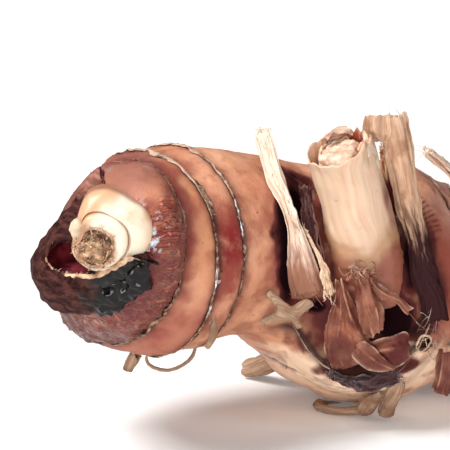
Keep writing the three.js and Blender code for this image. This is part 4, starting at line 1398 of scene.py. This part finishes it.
def folded(rails, seed, dish=0.25, wave=0.3, ragged=0.16, rows=80, between=22):
    """A leaf on its rails, creased along each: its grid, and its grain, rim and fold values."""
    along = np.array([spline(rail, rows) for rail in rails])
    columns = (len(rails) - 1) * between + 1
    share = np.linspace(0, len(rails) - 1, columns)
    low = np.clip(share.astype(int), 0, len(rails) - 2)
    t = (share - low)[:, None, None]
    grid = (along[low] * (1 - t) + along[low + 1] * t).transpose(1, 0, 2)
    length = np.linalg.norm(np.diff(grid[:, columns // 2], axis=0), axis=1).sum()
    width = np.linalg.norm(np.diff(grid[rows // 2], axis=0), axis=1).sum()
    u, v = np.meshgrid(np.linspace(0, 1, rows), share / (len(rails) - 1), indexing="ij")
    flat = np.stack([u * length, v * width, 0 * u + seed], -1).reshape(-1, 3)
    over = np.gradient(grid, axis=1)
    ahead = np.gradient(grid, axis=0)
    normal = unit(np.cross(over, ahead))
    normal *= -np.sign(normal[..., 1].mean() + 1e-9)
    hollow_between = np.sin(math.pi * t[:, 0, 0])[None]
    push = wave * layered(flat, 3.0, seed) + 0.10 * lumps(flat * (0.25, 1, 1), 0.9, seed + 3)
    push = push.reshape(u.shape) - dish * hollow_between
    edge = np.minimum(np.minimum(u, 1 - u) * length, np.minimum(v, 1 - v) * width)
    push += 0.25 * np.exp(-edge / 0.5) * lumps(flat, 1.6, seed + 5).reshape(u.shape)
    grid = grid + normal * push[..., None]
    side = 1.6 * lumps(flat * (1, 0, 1), 2.6, seed + 6) + 0.5 * lumps(flat * (1, 0, 1), 0.6, seed + 7)
    side = ragged * side.reshape(u.shape)
    out = unit(over)
    grid = grid + out * (side * ((v * 2 - 1) ** 5))[..., None]
    tear = lumps(flat * (0, 1, 1), 1.2, seed + 8) + 0.7 * lumps(flat * (0, 1, 1), 0.45, seed + 9)
    tear = ragged * tear.reshape(u.shape)
    way = unit(ahead)
    grid = grid + way * (1.4 * tear * np.abs(u * 2 - 1) ** 5)[..., None]
    crease = np.minimum(share - low, 1 - share + low) * width / (len(rails) - 1)
    crease = np.where((share < 0.5) | (share > len(rails) - 1.5), 9, crease)
    fold = bell(np.broadcast_to(crease, u.shape), 0.13)
    return grid, flat, np.exp(-edge / 0.16).ravel(), fold.ravel()


leather, t = new_material("leathery husk")
veins = speckle(t, 1.6, 5, along_grain(t, 0.12))
cloud = speckle(t, 230, 4)
colour = blend(t, rise(t, cloud, 0.38, 0.68), (0.085, 0.014, 0.012), (0.40, 0.140, 0.080))
colour = painted(
    t, colour,
    (rise(t, veins, 0.48, 0.66), 0.8, (0.10, 0.016, 0.014)),
    (rise(t, veins, 0.42, 0.30), 0.6, (0.56, 0.27, 0.17)),
    ("pallor", 0.55, (0.46, 0.20, 0.12)),
    (rise(t, speckle(t, 130, 2), 0.50, 0.66), 0.6, (0.095, 0.016, 0.016)),
    # Painted shade on the low husks.
    ("gloom", 0.9, (0.085, 0.013, 0.014)),
)
worn = rise(t, speckle(t, 300, 4), 0.46, 0.62)
colour = painted(
    t, colour,
    (maths(t, "MULTIPLY", field(t, "fold"), worn), 0.6, (0.56, 0.31, 0.20)),
    (maths(t, "MULTIPLY", field(t, "rim"), worn), 0.9, (0.74, 0.52, 0.38)),
)
rims = maths(t, "MULTIPLY", field(t, "rim"), rise(t, speckle(t, 350, 3), 0.55, 0.42))
colour = blend(t, maths(t, "MULTIPLY", rims, 0.8), colour, (0.15, 0.035, 0.024))
surface(t, colour, 0.45, maths(t, "ADD", veins, speckle(t, 1300, 3)), 0.6, 0.0005, Specular_IOR_Level=0.18)

# Positions along each husk's edges and creases, side by side. They don't follow the CAD husks.
HUSK_RAILS = {
    "husk_front_left": (
        (
            (-4.4, -13.7, 26.3), (-4.6, -11.5, 22.5), (-5.4, -10.5, 19.3), (-6.0, -10.2, 16.6),
            (-5.9, -10.2, 14.0), (-4.8, -9.3, 10.2),
        ),
        (
            (-3.9, -13.5, 25.8), (-3.4, -11.3, 21.8), (-3.6, -10.3, 18.6), (-3.8, -10.3, 15.6),
            (-3.6, -10.2, 12.8), (-2.9, -9.8, 10.9),
        ),
        (
            (-3.6, -14.7, 26.6), (-2.8, -14.5, 23.1), (-1.8, -14.0, 19.9), (-0.5, -13.4, 17.4),
            (0.7, -12.7, 15.0), (2.4, -11.5, 12.3),
        ),
        (
            (-3.1, -14.1, 26.3), (-1.8, -13.2, 23.4), (-0.8, -12.3, 20.4), (0.3, -11.6, 17.6),
            (1.5, -11.2, 15.2), (3.4, -10.8, 12.5),
        ),
    ),
    "husk_front_left fold": (
        (
            (-0.8, -14.2, 16.3), (0.4, -14.3, 16.3), (1.8, -13.9, 15.2), (3.4, -12.7, 13.2),
            (5.3, -11.5, 11.5),
        ),
        (
            (-1.1, -14.6, 15.6), (0.0, -14.8, 14.9), (1.4, -14.2, 13.7), (3.0, -12.8, 12.3),
            (5.0, -11.4, 11.1),
        ),
        (
            (-1.7, -13.1, 14.1), (-0.7, -12.9, 12.7), (0.6, -12.3, 11.5), (2.3, -11.7, 10.8),
            (4.5, -11.0, 10.7),
        ),
    ),
    "husk_front_middle": (
        (
            (-1.7, -13.9, 27.2), (-1.5, -13.5, 25.5), (-1.0, -13.1, 22.9), (-0.5, -12.7, 20.4),
            (0.2, -12.3, 18.0), (1.2, -12.1, 16.4),
        ),
        (
            (-1.1, -14.7, 28.0), (-0.8, -14.9, 26.3), (-0.2, -15.0, 23.9), (0.5, -14.6, 21.3),
            (1.2, -13.9, 18.9), (1.8, -13.1, 17.0),
        ),
        (
            (0.1, -15.2, 28.3), (0.6, -15.5, 26.6), (1.2, -15.4, 24.1), (2.0, -14.9, 21.6),
            (2.5, -14.1, 19.3), (2.6, -13.3, 17.6),
        ),
        (
            (1.0, -14.1, 27.4), (1.6, -13.7, 25.5), (2.4, -13.5, 23.3), (3.1, -13.2, 21.0),
            (3.4, -12.9, 18.9), (3.1, -12.7, 17.7),
        ),
    ),
    "husk_front_right": (
        (
            (1.0, -13.9, 27.3), (2.4, -13.5, 26.0), (3.9, -12.9, 24.8), (5.6, -12.3, 23.6),
            (7.0, -11.7, 22.3), (8.1, -11.1, 21.1),
        ),
        (
            (1.1, -14.7, 26.6), (2.3, -14.9, 25.1), (3.8, -14.6, 24.1), (5.4, -13.9, 23.2),
            (6.6, -13.2, 21.9), (7.6, -12.3, 20.8),
        ),
        (
            (1.6, -13.9, 25.2), (2.6, -14.2, 23.7), (3.9, -14.4, 23.1), (5.2, -13.9, 22.5),
            (6.5, -13.1, 21.1), (7.3, -12.3, 20.3),
        ),
    ),
    "husk_front_lower": (
        (
            (1.3, -12.3, 15.5), (2.9, -12.8, 16.4), (4.7, -12.9, 16.9), (6.5, -12.7, 17.7),
            (7.4, -11.7, 16.8),
        ),
        (
            (2.2, -12.3, 14.2), (3.7, -13.3, 14.8), (5.1, -13.5, 15.2), (6.6, -12.8, 15.3),
            (7.8, -11.2, 14.6),
        ),
        (
            (3.5, -11.5, 12.4), (4.6, -11.9, 12.2), (5.7, -12.0, 12.1), (6.7, -11.5, 12.2),
            (7.6, -10.5, 12.5),
        ),
    ),
    "crown_scale_right": (
        ((12.5, -7.1, 13.5), (12.4, -7.5, 11.6), (11.9, -7.7, 9.3), (11.4, -7.5, 7.1)),
        ((13.2, -8.5, 13.2), (13.1, -8.8, 11.3), (12.8, -8.8, 8.9), (12.2, -8.3, 6.4)),
        ((14.5, -8.1, 12.9), (14.5, -8.5, 10.8), (14.4, -8.4, 8.5), (14.0, -7.9, 5.5)),
        ((16.5, -6.1, 12.9), (16.7, -6.5, 10.3), (16.6, -6.5, 7.6), (16.0, -6.1, 5.5)),
    ),
}
for number, (node, pallor, gloom, wave) in enumerate((
    ("husk_front_left", 0.25, 0.15, 0.22), ("husk_front_middle", 0.6, 0.0, 0.22),
    ("husk_front_right", 0.7, 0.0, 0.35),
    ("husk_front_lower", 0.0, 0.6, 0.25), ("crown_scale_right", 0.45, 0.25, 0.3),
)):
    parts, fields = [], {name: [] for name in ("grain", "rim", "fold", "gloom", "pallor")}
    for name, rails in HUSK_RAILS.items():
        if not name.startswith(node):
            continue
        seed = 900 + 50 * number + len(name)
        grid, flat, rim, fold = folded(rails, seed, wave=wave)
        parts.append(sheet(grid, 0.22))
        mottle = layered(flat, 3.5, seed + 20)
        tan = pallor + (0.9 if name.endswith("fold") else 0) + 0.5 * mottle
        # Painted shade on the low husks and the foot of the front left one, less where mottled.
        low_down = (
            gloom + 0.6 * ease(14 - grid[..., 2].ravel(), 0, 5) * (node == "husk_front_left")
            - 0.5 * mottle
        )
        both_faces = (flat, rim, fold, np.clip(low_down, 0, 1), np.clip(tan, 0, 1))
        for store, values in zip(fields.values(), both_faces):
            store += [values, values]
    if node == "husk_front_middle":
        chance = np.random.default_rng(990)
        for k in range(46):
            foot = np.array([-0.6, -14.8, 27.6]) + chance.normal(0, 1, 3) * (1.0, 0.4, 0.7)
            steps = np.linspace(0, 1, 6)[:, None]
            path = foot + steps * chance.normal(0, 1.0, 3) + steps * (1 - steps) * chance.normal(0, 2.0, 3)
            points, faces = strand(path, chance.uniform(0.15, 0.5), 5)
            parts.append((points, faces))
            blank = np.zeros(len(points))
            values = (points, blank + chance.uniform(0, 0.7), blank, blank + 0.3, blank + 0.8)
            for store, column in zip(fields.values(), values):
                store.append(column)
    piece = new_piece(
        node + "_leaf", parts, **{name: np.concatenate(store) for name, store in fields.items()},
    )
    finish_piece(piece, leather, "husk", node)


# Dried threads are stretched over the hollow on the right, where an old bud left a round hole.
chance = np.random.default_rng(1210)
posts = np.array((
    (7.8, -8.8, 18.9), (9.1, -8.2, 16.7), (11.2, -6.6, 17.2), (13.1, -4.0, 14.8), (12.6, -4.4, 11.9),
    (10.6, -6.2, 10.9),
    (14.3, -3.5, 12.5), (8.8, -7.4, 11.5), (7.3, -7.8, 9.9), (13.0, -7.0, 14.0), (11.5, -8.6, 19.6),
    (9.0, -9.4, 20.4),
))
threads = []
for k in range(48):
    a, b = posts[chance.choice(len(posts), 2, replace=False)] + chance.normal(0, 0.7, (2, 3))
    if np.linalg.norm(a - b) > 6:
        continue
    a[1], b[1] = a[1] - chance.uniform(0.2, 1.4), b[1] - chance.uniform(0.2, 1.4)
    steps = np.linspace(0, 1, 9)[:, None]
    path = (
        a + (b - a) * steps + 4 * steps * (1 - steps) * chance.normal(0, 0.45, 3)
        - 4 * steps * (1 - steps) * (0, 0.5, 0)
    )
    threads.append(strand(path, chance.uniform(0.05, 0.15)))
web = new_piece("dried_threads", threads)
thread, t = new_material("dried thread")
surface(
    t, blend(t, rise(t, speckle(t, 300, 3), 0.42, 0.6), (0.22, 0.12, 0.08), (0.60, 0.49, 0.40)), 0.8,
    speckle(t, 2500, 2), 0.3, 0.0002,
)
finish_piece(web, thread, "husk")
turns = np.linspace(0, 2 * math.pi, 49)
out = np.array((0.25, -0.85, 0.30)) / np.linalg.norm((0.25, -0.85, 0.30))
side = np.cross(out, (0, 0, 1)) / np.linalg.norm(np.cross(out, (0, 0, 1)))
ring = np.array((10.4, -7.2, 14.1)) + np.outer(np.cos(turns) * 1.55, side) + np.outer(
    np.sin(turns) * 1.45, np.cross(side, out),
)
ring += 0.2 * np.stack([lumps(ring, 1.2, 1220 + k) for k in range(3)], 1)
ring = onto_skin(ring, 0.15)
points, faces = strand(ring, 0.5, 8)
hole_rim = new_piece(
    "old_bud_hole_rim", [(points, faces)], grain=points, rim=points[:, 0] * 0 + 0.4, up=points[:, 2] * 0,
)
finish_piece(hole_rim, straw, "straw")

# The top corner of the right stalk is folded over and hangs down in front.
lip_rails = (
    ((0.6, -4.7, 51.0), (0.3, -4.9, 49.3), (0.9, -5.2, 47.8), (2.2, -5.4, 46.9)),
    ((2.2, -5.4, 51.3), (1.9, -5.8, 49.5), (2.4, -5.8, 48.0), (3.1, -5.7, 47.1)),
    ((4.5, -4.7, 51.4), (4.6, -4.9, 49.6), (4.4, -5.1, 48.2), (4.1, -5.2, 47.3)),
)
grid, flat, rim, fold = folded(lip_rails, 1230, dish=0.45, wave=0.6, rows=60, between=16)
points, faces = sheet(grid, 0.22)
stalk_lip = new_piece(
    "right_stalk_folded_lip", [(points, faces)], grain=np.tile(flat, (2, 1)), rim=np.tile(rim, 2) * 0.4,
    up=points[:, 0] * 0 + 1,
)
finish_piece(stalk_lip, soaked, "straw")

# ---- Roots ---------------------------------------------------------------------------------------
# Cut feeder roots: flattened, wrinkled along their length like straps of straw, and frayed where the
# knife or the soil broke them. A few are no thicker than a hair.
root_straw = dry_material(
    "root straw", (0.52, 0.345, 0.23), (0.30, 0.175, 0.11), (0.68, 0.50, 0.37), (0.29, 0.155, 0.10), 0.65,
)
for number, node in enumerate((
    "root_front_left", "root_front_right", "root_loop", "root_back_left", "root_back_right",
    "root_under_right", "rootlet_left", "collar_rootlet", "bulb_root_tuft", "bulb_root_hair",
)):
    slim = node in ("bulb_root_hair", "collar_rootlet", "root_loop")
    ribbed_copy(
        node, root_straw, "root", 2000 + 20 * number, 0.2 if slim else 0.26, 0.0 if slim else 0.08,
        0.05 if slim else 0.16, 0.3 if slim else 1.2, 0.1 if slim else 0.3,
    )
